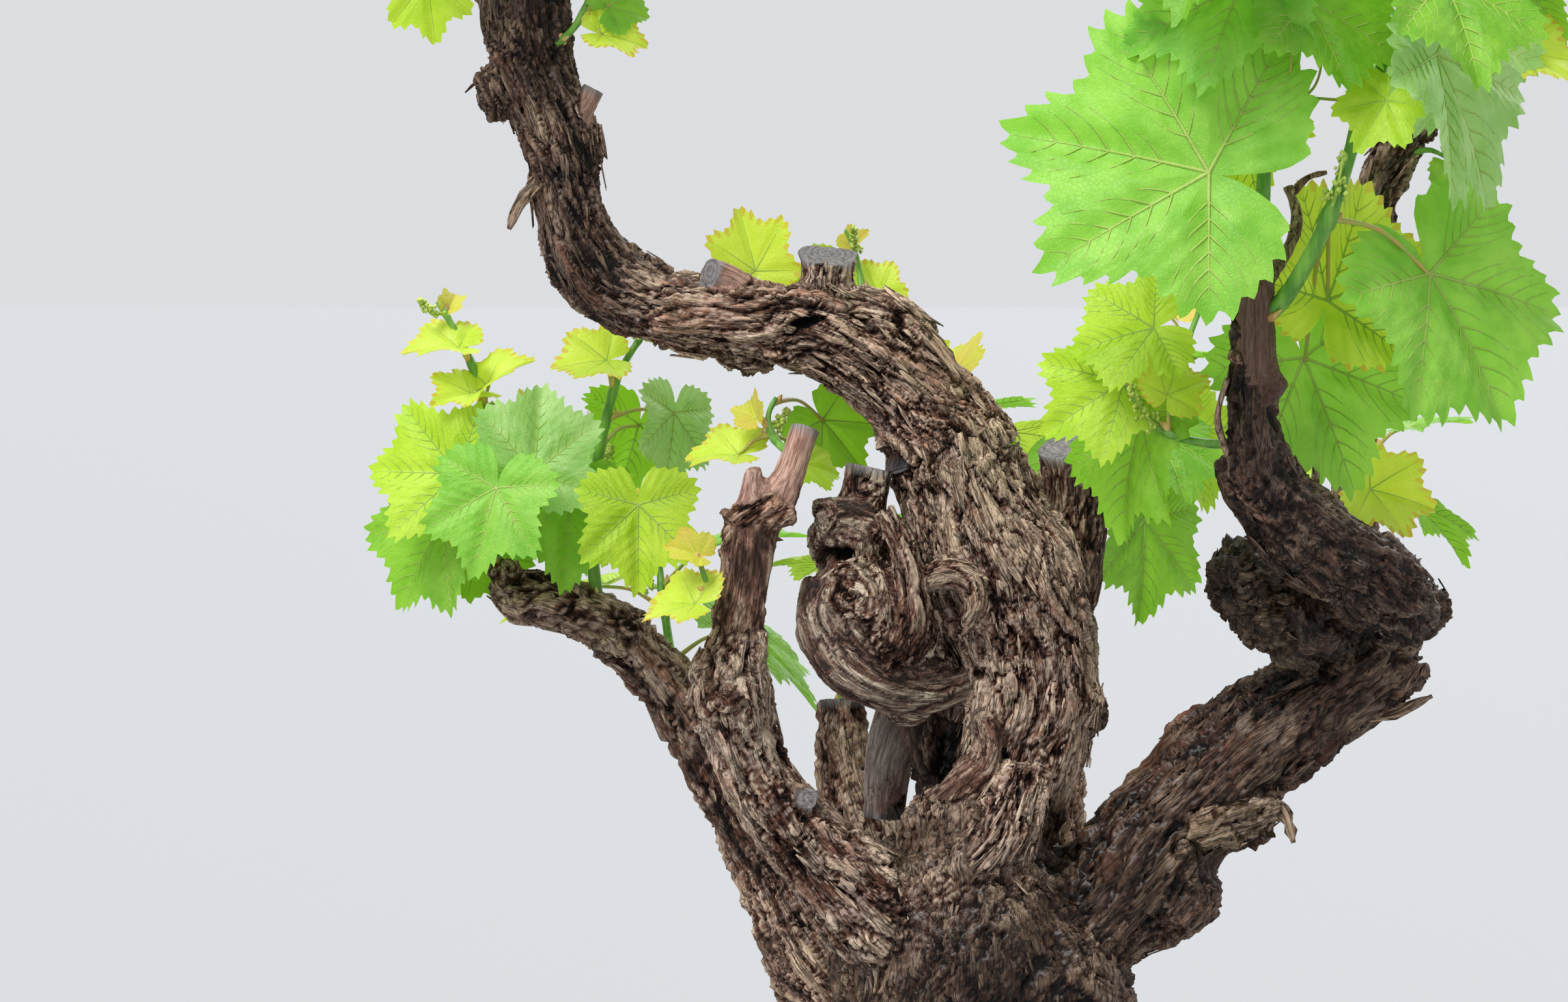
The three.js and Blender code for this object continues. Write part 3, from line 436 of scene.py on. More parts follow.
class Course:
    """The stations of a limb: centres, radii, the way ahead and two directions across
    it that are carried along without twist."""

    def __init__(self, path, step):
        count = max(2, round(path_length(path) / step))
        share = np.arange(count + 1) / count
        rows = along(path, share)
        self.centre = rows[:, :3]
        self.radius = rows[:, 3] if rows.shape[1] > 3 else np.ones(count + 1)
        self.travelled = share * path_length(path)
        nearby = np.clip(np.arange(count + 1)[:, None] + (1, -1), 0, count)
        self.ahead = unit(self.centre[nearby[:, 0]] - self.centre[nearby[:, 1]])
        if self.centre[0, 2] == 0:
            self.ahead[0] = (0, 0, 1)
        side = np.array((0.0, 1.0, 0.0) if abs(self.ahead[0, 0]) > 0.8 else (1.0, 0.0, 0.0))
        sides = []
        for ahead in self.ahead:
            side = unit(side - ahead * (side @ ahead))
            sides.append(side)
        self.side = np.array(sides)
        self.across = np.cross(self.ahead, self.side)

    def tube(self, sides, radii=None):
        """The points and triangles of a closed tube. radii has a row per station."""
        angle = np.arange(sides) * 2 * math.pi / sides
        if radii is None:
            radii = self.radius
        reach = radii.reshape(len(self.centre), -1)[:, :, None]
        ring = (self.centre[:, None] + reach * (np.cos(angle)[:, None] * self.side[:, None]
                                                + np.sin(angle)[:, None] * self.across[:, None]))
        points = np.concatenate([ring.reshape(-1, 3), self.centre[[0, -1]]])
        rings = len(self.centre)
        j = np.arange(sides)
        k = (j + 1) % sides
        a = (np.arange(rings - 1) * sides)[:, None]
        first = rings * sides
        last = (rings - 1) * sides
        faces = [np.stack([a + j, a + k, a + sides + k], -1),
                 np.stack([a + j, a + sides + k, a + sides + j], -1),
                 np.stack([np.full(sides, first), k, j], -1),
                 np.stack([np.full(sides, first + 1), last + j, last + k], -1)]
        return points, np.concatenate([f.reshape(-1, 3) for f in faces])


def wall(rings, sides):
    """The triangles between rings of points that follow each other."""
    j = np.arange(sides)
    k = (j + 1) % sides
    a = (np.arange(rings - 1) * sides)[:, None]
    return np.concatenate([np.stack([a + j, a + sides + k, a + k], -1).reshape(-1, 3),
                           np.stack([a + j, a + sides + j, a + sides + k], -1).reshape(-1, 3)])


class Heap:
    """Points and triangles that are gathered into one mesh."""

    def __init__(self):
        self.points = []
        self.faces = []
        self.size = 0

    def add(self, points, faces):
        self.points.append(points)
        self.faces.append(faces + self.size)
        self.size += len(points)

    def arrays(self):
        return np.concatenate(self.points), np.concatenate(self.faces)


def mesh_object(name, points, faces, finish=None, **readings):
    """A smooth-shaded object of triangles, with named readings at its points."""
    mesh = bpy.data.meshes.new(name)
    mesh.vertices.add(len(points))
    mesh.vertices.foreach_set("co", (np.asarray(points) * MM).astype(np.float32).ravel())
    mesh.loops.add(len(faces) * 3)
    mesh.loops.foreach_set("vertex_index", np.asarray(faces).astype(np.int32).ravel())
    mesh.polygons.add(len(faces))
    mesh.polygons.foreach_set("loop_start", np.arange(len(faces), dtype=np.int32) * 3)
    mesh.polygons.foreach_set("use_smooth", np.ones(len(faces), bool))
    mesh.update(calc_edges=True)
    for key, values in readings.items():
        values = np.asarray(values, np.float32)
        kind, field = ("FLOAT", "value") if values.ndim == 1 else ("FLOAT_VECTOR", "vector")
        mesh.attributes.new(key, kind, "POINT").data.foreach_set(field, values.ravel())
    if finish is not None:
        mesh.materials.append(finish)
    made = bpy.data.objects.new(name, mesh)
    bpy.context.scene.collection.objects.link(made)
    return made


def put(name, slot, nodes, *mesh_parts, **readings):
    """A piece of the vine in its place."""
    piece = mesh_object(name, *mesh_parts, **readings)
    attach(piece, "root")
    if nodes:
        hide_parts(*nodes)


class Reading:
    """A number that a shader node gives, worked on with plain arithmetic."""

    def __init__(self, finish, socket):
        self.finish = finish
        self.socket = socket

    def worked(self, operation, *values, clamp=False):
        node = self.finish.node("ShaderNodeMath", {"operation": operation, "use_clamp": clamp},
                                dict(enumerate(values)))
        return Reading(self.finish, node.outputs[0])

    __add__ = lambda self, other: self.worked("ADD", self, other)
    __radd__ = lambda self, other: self.worked("ADD", other, self)
    __sub__ = lambda self, other: self.worked("SUBTRACT", self, other)
    __rsub__ = lambda self, other: self.worked("SUBTRACT", other, self)
    __mul__ = lambda self, other: self.worked("MULTIPLY", self, other)
    __rmul__ = lambda self, other: self.worked("MULTIPLY", other, self)
    __pow__ = lambda self, other: self.worked("POWER", self, other)

    def __abs__(self):
        return self.worked("ABSOLUTE", self)

    def clamped(self):
        return self.worked("ADD", self, 0.0, clamp=True)

    def sine(self):
        return self.worked("SINE", self)

    def between(self, low, high):
        """Rises smoothly from 0 at low to 1 at high."""
        node = self.finish.node("ShaderNodeMapRange", {"interpolation_type": "SMOOTHSTEP"},
                                {"Value": self, "From Min": low, "From Max": high})
        return Reading(self.finish, node.outputs[0])


class Finish:
    """A procedural material with one Principled shader."""

    def __init__(self, name, roughness=0.8, **constants):
        self.material = bpy.data.materials.new(name)
        self.material.use_nodes = True
        self.tree = self.material.node_tree
        self.shader = next(n for n in self.tree.nodes if n.type == "BSDF_PRINCIPLED")
        self.output = next(n for n in self.tree.nodes if n.type == "OUTPUT_MATERIAL")
        self.shader.inputs["Roughness"].default_value = roughness
        for key, value in constants.items():
            socket = key.replace("_", " ").title().replace("Ior", "IOR")
            self.shader.inputs[socket].default_value = value

    def node(self, kind, settings=None, values=None):
        made = self.tree.nodes.new(kind)
        for key, value in (settings or {}).items():
            setattr(made, key, value)
        for key, value in (values or {}).items():
            self.feed(made.inputs[key], value)
        return made

    def feed(self, socket, value):
        value = getattr(value, "socket", value)
        if isinstance(value, bpy.types.NodeSocket):
            self.tree.links.new(value, socket)
        else:
            socket.default_value = value

    def surface(self, **values):
        for key, value in values.items():
            self.feed(self.shader.inputs[key.replace("_", " ").title()], value)

    def reading(self, name):
        """The vector that a mesh holds under a name."""
        return self.node("ShaderNodeAttribute", {"attribute_name": name}).outputs["Vector"]

    def parts(self, vector):
        made = self.node("ShaderNodeSeparateXYZ", None, {0: vector})
        return [Reading(self, socket) for socket in made.outputs]

    def place(self):
        return self.node("ShaderNodeTexCoord").outputs["Object"]

    def stretched(self, vector, x, y, z):
        return self.node("ShaderNodeVectorMath", {"operation": "MULTIPLY"},
                         {0: vector, 1: (x, y, z)}).outputs[0]

    def grain(self, vector, scale, detail=3.0, roughness=0.6, warp=0.0):
        made = self.node("ShaderNodeTexNoise", None,
                         {"Vector": vector, "Scale": scale, "Detail": detail,
                          "Roughness": roughness, "Distortion": warp})
        return Reading(self, made.outputs[0])

    def cracks(self, vector, scale):
        made = self.node("ShaderNodeTexVoronoi", {"feature": "DISTANCE_TO_EDGE"},
                         {"Vector": vector, "Scale": scale})
        return Reading(self, made.outputs[0])

    def mixed(self, share, first, second, blend="MIX"):
        made = self.node("ShaderNodeMix", {"data_type": "RGBA", "blend_type": blend},
                         {0: share, 6: first, 7: second})
        return made.outputs[2]

    def bumped(self, height, distance, strength=1.0):
        made = self.node("ShaderNodeBump", None,
                         {"Height": height, "Distance": distance, "Strength": strength})
        self.feed(self.shader.inputs["Normal"], made.outputs[0])


def colour(red, green, blue):
    """A shader colour from the 0 to 255 values that a screen shows."""
    return tuple((c / 255) ** 2.2 for c in (red, green, blue)) + (1.0,)


def bark_finish():
    """Weathered bark: pale plate tops, red-brown inner bark, rims lightened partly as wear and partly
    as painted highlight, and fissures, cracks, hollows and risers darkened to near black as painted
    shade.
    """
    finish = Finish("vine bark", specular_ior_level=0.1, coat_roughness=0.3)
    grain = finish.reading("grain")
    height, tone, edge = finish.parts(finish.reading("relief"))
    grey, red, wet = finish.parts(finish.reading("look"))
    cut, smooth, moss = finish.parts(finish.reading("cut"))
    lengthwise = finish.stretched(grain, 1.0, 1.0, 0.1)
    fibre = finish.grain(lengthwise, 0.7, 5.0, 0.62, 0.5)
    thread = finish.grain(lengthwise, 2.4, 3.0, 0.6)
    split = abs(finish.grain(lengthwise, 0.3, 3.0, 0.55, 0.8) - 0.5).between(0.0, 0.035)
    hairline = abs(finish.grain(lengthwise, 0.9, 2.0, 0.5, 0.5) - 0.5).between(0.0, 0.03)
    patch = finish.grain(grain, 0.045, 3.0, 0.6)
    speck = finish.grain(grain, 0.8, 4.0, 0.7)
    tan = finish.mixed(fibre.between(0.3, 0.68), colour(112, 86, 68), colour(218, 190, 162))
    cool = finish.mixed(fibre.between(0.3, 0.68), colour(108, 92, 78), colour(210, 192, 170))
    rust = finish.mixed(fibre.between(0.3, 0.68), colour(94, 58, 46), colour(190, 132, 108))
    dull = (grey * 0.9 + (patch - 0.5) * 1.6 + (tone - 0.5) * 0.7).between(0.1, 0.8)
    top = finish.mixed(dull, tan, cool)
    ruddy = (red * 0.9 + (tone - 0.5) * 0.9 + (patch - 0.5) * 1.2).between(0.3, 1.1)
    top = finish.mixed(ruddy, top, rust)
    inner = finish.mixed(thread.between(0.3, 0.7), colour(66, 44, 36), colour(124, 88, 74))
    body = finish.mixed((height + (speck - 0.5) * 0.5).between(0.3, 0.66), inner, top)
    # Crests and rims of the plates are lightened, partly as worn edges and partly as painted highlight.
    body = finish.mixed(edge.between(0.1, 0.9) * 0.4, body, colour(222, 198, 182))
    body = finish.mixed((1.0 - hairline) * 0.5, body, colour(40, 27, 22))
    body = finish.mixed((1.0 - split) * 0.8, body, colour(22, 15, 12))
    # Painted shade: low places, fissures, hollows and the risers below plate edges are darkened to near
    # black.
    deep = (height - (0 - edge).between(0.1, 1.0) * 0.15 + (thread - 0.5) * 0.3).between(0.04, 0.32)
    skin = finish.mixed(deep, colour(14, 9, 7), body)
    mould = finish.grain(grain, 0.028, 3.0, 0.6).between(0.52, 0.68) * height
    green = (moss + mould * 0.55).clamped() * speck.between(0.4, 0.6) * 0.7
    skin = finish.mixed(green, skin, colour(112, 104, 54))
    # The wet reading darkens the bark: on wet limbs this is wet bark's own colour, and in the spots of
    # painted shade it is painted shade.
    damp_and_painted_shade = (wet * 1.25 + (patch - 0.5) * 1.3).between(0.2, 1.0)
    skin = finish.mixed(damp_and_painted_shade * 0.95, skin, (0.17, 0.14, 0.115, 1), "MULTIPLY")
    rind = finish.mixed(fibre.between(0.3, 0.7), colour(128, 90, 78), colour(206, 170, 154))
    ashen = finish.mixed(fibre.between(0.3, 0.7), colour(104, 94, 88), colour(178, 166, 156))
    rind = finish.mixed(grey.between(0.4, 1.0), rind, ashen)
    rind = finish.mixed((patch + speck * 0.5).between(0.75, 0.95), rind, colour(88, 56, 48))
    # Smooth bark turns dark red-brown where it is wet, and in the spots of painted shade as painted
    # shade.
    rind = finish.mixed((wet * 0.9).clamped(), rind, colour(70, 46, 38))
    skin = finish.mixed(smooth * (0.55 + hairline * 0.4), skin, rind)
    across, through, _ = finish.parts(grain)
    ring = ((across * across + through * through) ** 0.5 * 2.6 + patch * 9.0 + speck * 3.0).sine()
    face = finish.mixed(ring.between(-1.0, 1.0) * 0.4 + speck.between(0.3, 0.7) * 0.6,
                        colour(98, 94, 96), colour(150, 144, 142))
    face = finish.mixed(speck.between(0.56, 0.7) * 0.7, face, colour(74, 62, 58))
    finish.surface(base_color=finish.mixed(cut, skin, face))
    finish.surface(roughness=(0.88 - cut * 0.2 + (fibre - 0.5) * 0.3).clamped(), coat_weight=damp_and_painted_shade * 0.3)
    coarse = split * 0.5 + hairline * 0.25 + fibre * 0.6 + thread * 0.2 + speck * 0.3
    finish.bumped(coarse * (1.0 - smooth * 0.7), 0.0011, 0.9)
    return finish.material


def leaf_finish(name, low, high, through):
    """Young leaf that lets light glow through it."""
    finish = Finish(name, roughness=0.5)
    place = finish.place()
    mottle = finish.grain(place, 60.0, 4.0, 0.6)
    net = finish.cracks(place, 520.0)
    blush = finish.mixed(mottle.between(0.3, 0.7), colour(*low), colour(*high))
    finish.surface(base_color=blush)
    finish.bumped(net.between(0.0, 0.12) + mottle * 0.5, 0.0004, 0.3)
    glow = finish.node("ShaderNodeBsdfTranslucent", None, {"Color": colour(*through)})
    both = finish.node("ShaderNodeMixShader", None,
                       {0: 0.35, 1: finish.shader.outputs[0], 2: glow.outputs[0]})
    finish.feed(finish.output.inputs["Surface"], both.outputs[0])
    return finish.material


def stalk_finish(name, low, high):
    """The green or reddish skin of a shoot or a petiole."""
    finish = Finish(name, roughness=0.45)
    place = finish.place()
    streak = finish.grain(finish.stretched(place, 1.0, 1.0, 0.2), 260.0, 3.0, 0.6)
    finish.surface(base_color=finish.mixed(streak.between(0.3, 0.7), colour(*low), colour(*high)))
    finish.bumped(streak, 0.0004, 0.5)
    return finish.material


def relief(angle, travelled, seed, depth):
    """How far the wood stands out at an angle round a limb, in shares of its radius."""
    phase = seed * 1.7
    return 1 + depth * (0.6 * np.sin(3 * angle + travelled * 0.021 + phase)
                        + 0.4 * np.sin(5 * angle - travelled * 0.034 + 2 * phase)
                        + 0.4 * np.sin(travelled * 0.11 + 3 * phase))


def limb_body(name, seed):
    """The closed sweep of a limb, with the flare at the trunk's foot."""
    course = Course(SWEEPS[name]["path"], RING_STEP)
    angle = np.arange(RING_SIDES) * 2 * math.pi / RING_SIDES
    radii = course.radius[:, None] * relief(angle, course.travelled[:, None], seed, BARK_RELIEF)
    if name == "trunk":
        fade = np.maximum(0, 1 - course.centre[:, 2] / FLARE_HEIGHT) ** 2
        radii = radii * (1 + FLARE_SHARE * fade[:, None] * (0.6 + np.cos(FLARE_ROOTS * angle + 0.6)))
    return course.tube(RING_SIDES, radii)


def lump_body(row, seed):
    """A burl: a ball with a few soft swellings."""
    x, y, z, radius = row
    turn = np.linspace(0.02, math.pi - 0.02, 15)
    ball = Course([(0, 0, -1, 0), (0, 0, 1, 0)], 2 / 14)
    ball.centre = np.stack([0 * turn, 0 * turn, -np.cos(turn)], -1)
    points, faces = ball.tube(24, np.sin(turn))
    points = unit(points)
    swelling = (1 + 0.07 * np.sin(3.3 * points[:, 0] + seed) * np.cos(2.9 * points[:, 2] - seed)
                + 0.05 * np.sin(4.1 * points[:, 1] + 2 * seed))
    return points * (radius * swelling)[:, None] + (x, y, z), faces


def wood_skin(voxel, blend_steps):
    """The blended skin of all limbs: points, normals and triangles, in millimetres."""
    heap = Heap()
    for seed, (name, form) in enumerate(SWEEPS.items()):
        heap.add(*limb_body(name, seed))
        for i, row in enumerate(form["lumps"]):
            heap.add(*lump_body(row, seed + i))
    core = mesh_object("wood_core", *heap.arrays())
    skin = core.modifiers.new("skin", "REMESH")
    skin.mode = "VOXEL"
    skin.voxel_size = voxel * MM
    blend = core.modifiers.new("blend", "SMOOTH")
    blend.factor = 0.5
    blend.iterations = blend_steps
    graph = bpy.context.evaluated_depsgraph_get()
    mesh = bpy.data.meshes.new_from_object(core.evaluated_get(graph))
    mesh.calc_loop_triangles()
    points, normals = np.empty((2, len(mesh.vertices), 3), np.float32)
    faces = np.empty((len(mesh.loop_triangles), 3), np.int32)
    mesh.vertices.foreach_get("co", points.ravel())
    mesh.vertex_normals.foreach_get("vector", normals.ravel())
    mesh.loop_triangles.foreach_get("vertices", faces.ravel())
    bpy.data.objects.remove(core)
    bpy.data.meshes.remove(mesh)
    return points.astype(float) / MM, normals.astype(float), faces


def kept(points, normals, faces, wanted):
    """The faces that are wanted, with only the points that they use."""
    faces = faces[wanted]
    used, inverse = np.unique(faces, return_inverse=True)
    return points[used], normals[used], inverse.reshape(-1, 3)


COURSES = {name: Course(form["path"], COURSE_STEP) for name, form in SWEEPS.items()}
NAMES = list(SWEEPS)


class Grain:
    """Where each point of the skin lies on its limb, and how the fibres run there."""

    def __init__(self, points):
        centre, radius, ahead, side, across, travelled = (
            np.concatenate([getattr(c, part) for c in COURSES.values()])
            for part in ("centre", "radius", "ahead", "side", "across", "travelled"))
        owner = np.repeat(np.arange(len(NAMES)), [len(c.centre) for c in COURSES.values()])
        near = np.array([SWEEPS[n]["piece"] in NEAR_PIECES for n in NAMES])[owner]
        looks = np.array([SWEEPS[n]["look"] for n in NAMES])[owner]
        self.look = np.empty((len(points), 3))
        nearest = np.empty(len(points), int)
        self.lead = np.empty(len(points))
        strayed = points + STRAY * np.stack([noise(points / 7, 20 + k) for k in range(3)], -1)
        for start in range(0, len(points), BATCH):
            batch = slice(start, start + BATCH)
            part = strayed[batch]
            gap = np.sqrt(np.maximum(0, (part ** 2).sum(1)[:, None] + (centre ** 2).sum(1)
                                     - 2 * part @ centre.T)) - radius
            nearest[batch] = gap.argmin(axis=1)
            self.lead[batch] = gap[:, ~near].min(axis=1) - gap[:, near].min(axis=1)
            pull = np.exp((gap.min(axis=1, keepdims=True) - gap) / LOOK_BLEND)
            self.look[batch] = pull @ looks / pull.sum(axis=1, keepdims=True)
        local = points - centre[nearest]
        self.limb = owner[nearest]
        self.fibre = ahead[nearest]
        x = dots(local, side[nearest])
        y = dots(local, across[nearest])
        run = travelled[nearest] + dots(local, self.fibre)
        self.place = np.stack([x, y, run], -1)
        self.kind = np.array([SWEEPS[n]["bark"] for n in NAMES])[self.limb]
        # Painted shade: the spots in crotches, hollows and below overhanging wood raise the wet
        # reading.
        for x, y, z, reach, strength in PAINTED_SHADE_SPOTS:
            away = np.linalg.norm(points - (x, y, z), axis=1) + 0.3 * reach * noise(points / 12, 29)
            self.look[:, 2] = np.maximum(self.look[:, 2], strength * ease(1.15, 0.5, away / reach))
        for middle, facing, reach in WHORLS:
            axis = unit(np.array(facing, float))
            gap = points - middle
            rise = gap @ axis
            flat = gap - rise[:, None] * axis
            spread = np.linalg.norm(flat, axis=1)
            spread = spread + 4.5 * noise(points / 10, 91) + 1.2 * noise(points / 4, 93)
            inside = (spread + 2.5 * noise(points / 5, 92) < reach) & (abs(rise) < reach)
            east = unit(np.cross(axis, (0.0, 0.0, 1.0)))
            north = np.cross(axis, east)
            turn = np.arctan2(flat @ north, flat @ east)
            self.place[inside] = np.stack([spread, rise, turn * reach * 0.6], -1)[inside]
            self.fibre[inside] = unit(np.cross(axis, flat))[inside]
            self.kind[inside] = "whorl"


def cut_ends(points):
    """How far each point belongs to the flat face of a pruned end, and how far it has
    to move to lie on that face."""
    share = np.zeros(len(points))
    move = np.zeros((len(points), 3))
    for name, course in COURSES.items():
        cut = SWEEPS[name]["cut"]
        if not cut:
            continue
        end = course.centre[-1]
        ahead = course.ahead[-1] if cut is True else unit(np.array(cut, float))
        over = (points - end) @ ahead
        wide = np.linalg.norm(points - end - over[:, None] * ahead, axis=1)
        on_face = (over > -CUT_DEPTH) & (wide < course.radius[-1] * CUT_WIDTH) & (over < CUT_RISE)
        share[on_face] = 1
        move[on_face] = (-over[:, None] * ahead)[on_face]
    return share, move


def bark_relief(points, normals, grain):
    """The points with the bark's relief, and their readings for the finish."""
    lift = np.zeros(len(points))
    reading = np.zeros((len(points), 3))
    for salt, (kind, numbers) in enumerate(BARKS.items()):
        chosen = grain.kind == kind
        if not chosen.any():
            continue
        wide, long, height, depth, layer, swell, twist = numbers
        at = points[chosen]
        x, y, run = grain.place[chosen].T
        turn = twist * run + 0.25 * noise(at / 22, 40 + salt)
        x, y = x * np.cos(turn) - y * np.sin(turn), x * np.sin(turn) + y * np.cos(turn)
        meander = np.stack([noise(at / 13, 50), noise(at / 13, 51), 0 * x], -1) * 2.2
        place = np.stack([x, y, run], -1) + meander
        flat = place / (wide, wide, long)
        ragged = flat + 0.24 * np.stack([noise(flat * (2.3, 2.3, 4.0), 60 + k) for k in range(3)], -1)
        ragged = ragged + 0.09 * np.stack([noise(flat * (6, 6, 13), 64 + k) for k in range(3)], -1)
        gap, away, tone, lean = cells(ragged, 90 + salt)
        broad = ragged * (0.38, 0.38, 0.42) + 0.2 * noise(flat, 68)[:, None]
        slab_gap, _, slab, _ = cells(broad, 95 + salt)
        shattered = ease(-0.35, 0.25, noise(at / 10, 44))
        open_gap = 0.12 + 0.4 * ease(0.1, 0.7, noise(at / 8, 35))
        crack = (1 - ease(0.0, 1.0, gap / open_gap)) * (0.25 + 0.75 * shattered)
        fissure = 1 - ease(0.0, 0.11, slab_gap)
        strand = ease(0.0, 0.2, abs(noise(ragged * (1.0, 1.0, 0.34), 75 + salt)))
        fissure = np.maximum(fissure, 0.8 * (1 - strand))
        stack = 3 + 2.6 * rough(ragged * (1.0, 1.0, 0.8), 3, 70 + salt)
        base = np.floor(stack)
        part = stack - base
        layers = base + 0.8 * ease(0.0, 0.3, part) + 0.2 * part - 3
        tilted = height * (tone - 0.45) + height * 1.1 * (lean - 0.4) * away[:, 2]
        plate = tilted * (0.25 + 0.75 * shattered) + height * 1.1 * (slab - 0.5)
        sunk = np.maximum(crack * depth, fissure * depth * 1.2)
        lift[chosen] = plate + layers * layer - sunk + swell * rough(at / 15, 3, 30)
        strong = min(1.0, height / 1.2)
        level = 0.6 + 0.26 * strong * (plate + layers * layer) / height
        # Fissures and cracks get a low level, which the finish paints as inner bark and painted shade.
        level = level * (1 - 0.9 * np.maximum(crack, fissure))
        # The edge reading: lighter on crests and crack rims, partly as worn edges and partly as painted
        # highlight; below zero on the risers, as painted shade.
        crest = ease(0.3, 0.38, part) * ease(0.7, 0.42, part) - ease(0.3, 0.0, part)
        rim = ease(0.55, 0.2, gap / open_gap - 0.6) * (1 - crack)
        edge = strong * np.clip(crest + 0.7 * rim, -1, 1)
        reading[chosen] = np.stack([np.clip(level, 0, 1), 0.5 + strong * (tone - 0.5), edge], -1)
    share, move = cut_ends(points)
    lift = np.where(share > 0, 0.25 * rough(points / 2.5, 2, 33), lift)
    for start, end, radius, depth in HOLLOWS:
        span = np.array(end, float) - start
        part = np.clip(((points - start) @ span) / (span @ span), 0, 1)
        off = np.linalg.norm(points - start - part[:, None] * span, axis=1)
        sunk = ease(1.25, 0.45, (off + 0.8 * noise(points / 3, 37)) / radius)
        lift = lift - depth * sunk
        # Painted shade: a hollow's inside gets a low level and a negative edge reading, which the
        # finish darkens.
        reading[:, 0] *= 1 - sunk
        reading[:, 2] = np.minimum(reading[:, 2], 1 - 2 * sunk)
    moved = points + normals * lift[:, None] + move
    moved[:, 2] = np.maximum(moved[:, 2], 0)
    return moved, reading, share


def make_wood(finish):
    """Swaps trunk and boughs for bark-covered skins, and returns where flakes can sit."""
    spots = []
    replaced = set()
    for grade, (voxel, blend_steps, overlap) in SKINS.items():
        points, normals, faces = wood_skin(voxel, blend_steps)
        middle = points[faces].mean(axis=1)
        front = np.minimum(middle[:, 2] - FINE_ABOVE, FINE_BEFORE - middle[:, 1])
        mine = front < overlap if grade == "far" else front > -1
        points, normals, faces = kept(points, normals, faces, mine)
        grain = Grain(points)
        if grade != "far":
            lead = grain.lead[faces[:, 0]]
            faces = faces[lead > 0 if grade == "near" else lead < overlap]
        moved, reading, share = bark_relief(points, normals, grain)
        owner = np.array([SWEEPS[n]["piece"] for n in NAMES])[grain.limb[faces[:, 0]]]
        for name in sorted(set(owner)):
            mine = faces[owner == name]
            used, inverse = np.unique(mine, return_inverse=True)
            nodes = [n for n, form in LIMBS.items() if form["piece"] == name and n not in replaced]
            replaced.update(nodes)
            smooth = (grain.kind[used] == "smooth") + 0.12 * (grain.kind[used] == "callus")
            put(f"{name}_{grade}", "bark", nodes, moved[used], inverse.reshape(-1, 3), finish,
                grain=grain.place[used], relief=reading[used], look=grain.look[used],
                cut=np.stack([share[used], smooth, 0.6 * (grain.kind[used] == "crumbs")], -1))
        spots.append((moved, normals, faces, grain, share))
    return spots


def chance(*keys):
    """A fixed random number from 0 to 1 for a list of whole numbers."""
    state = 17
    for key in keys:
        state = (state * 7919 + key * 104729 + 1237) % 233280
    return ((state * 9301 + 49297) % 233280) / 233280


UP = np.array((0.0, 0.0, 1.0))


class Leaf:
    """A leaf's place: the petiole's end, the midrib's length, the way that the upper
    face looks and the way to the tip, and its tint."""

    def __init__(self, foot, size, face, tip, tint, seed):
        self.foot = np.array(foot, float)
        self.size = size
        self.face = face
        self.tip = tip
        self.right = np.cross(tip, face)
        self.tint = tint
        self.seed = seed

    def root(self, stem):
        """The share of the stem where the petiole springs, and the place."""
        target = self.foot - 0.4 * self.size * UP
        shares = np.arange(9, 25) / 24
        nodes = along(stem, shares)
        nearest = np.linalg.norm(nodes - target, axis=1).argmin()
        return shares[nearest], nodes[nearest]


def posed_leaf(row, tint, seed):
    """A leaf that is placed as listed, from its row in SHOOTS."""
    x, y, z, size, bearing, height, clock = row
    b, h, c = (math.radians(angle) for angle in (bearing, height, clock))
    face = np.array((math.sin(b) * math.cos(h), -math.cos(b) * math.cos(h), math.sin(h)))
    upward = unit(UP - face * face[2])
    tip = upward * math.cos(c) + np.cross(upward, face) * math.sin(c)
    return Leaf((x, y, z), size, face, tip, tint, seed)


def grown_leaves(stem, rule, seed):
    """Leaves by rule: in two ranks, smaller towards the shoot's tip, hanging outward."""
    count, start, size, spin = rule
    leaves = []
    for i in range(count):
        share = i / max(count - 1, 1)
        node = along(stem, start + (0.99 - start) * share)[0]
        length = size * (1 - 0.72 * share * share) * (0.86 + 0.28 * chance(seed, i, 1))
        turn = math.radians(spin + 180 * i + 50 * (chance(seed, i, 2) - 0.5))
        out = np.array((math.cos(turn), math.sin(turn), 0.0))
        foot = node + out * length * 0.55 + UP * length * 0.55 * (0.35 + 0.5 * share)
        drop = 0.8 - 1.9 * share + 0.4 * (chance(seed, i, 3) - 0.5)
        tip = unit(out - drop * UP)
        face = unit(UP * (1.05 - share) + (0.9 - 1.5 * share) * out)
        face = unit(face - tip * (face @ tip))
        tint = "glbly"[i % 5] if share < 0.7 else "yt"[i % 2]
        leaves.append(Leaf(foot, length, face, tip, tint, seed * 31 + i))
    return leaves


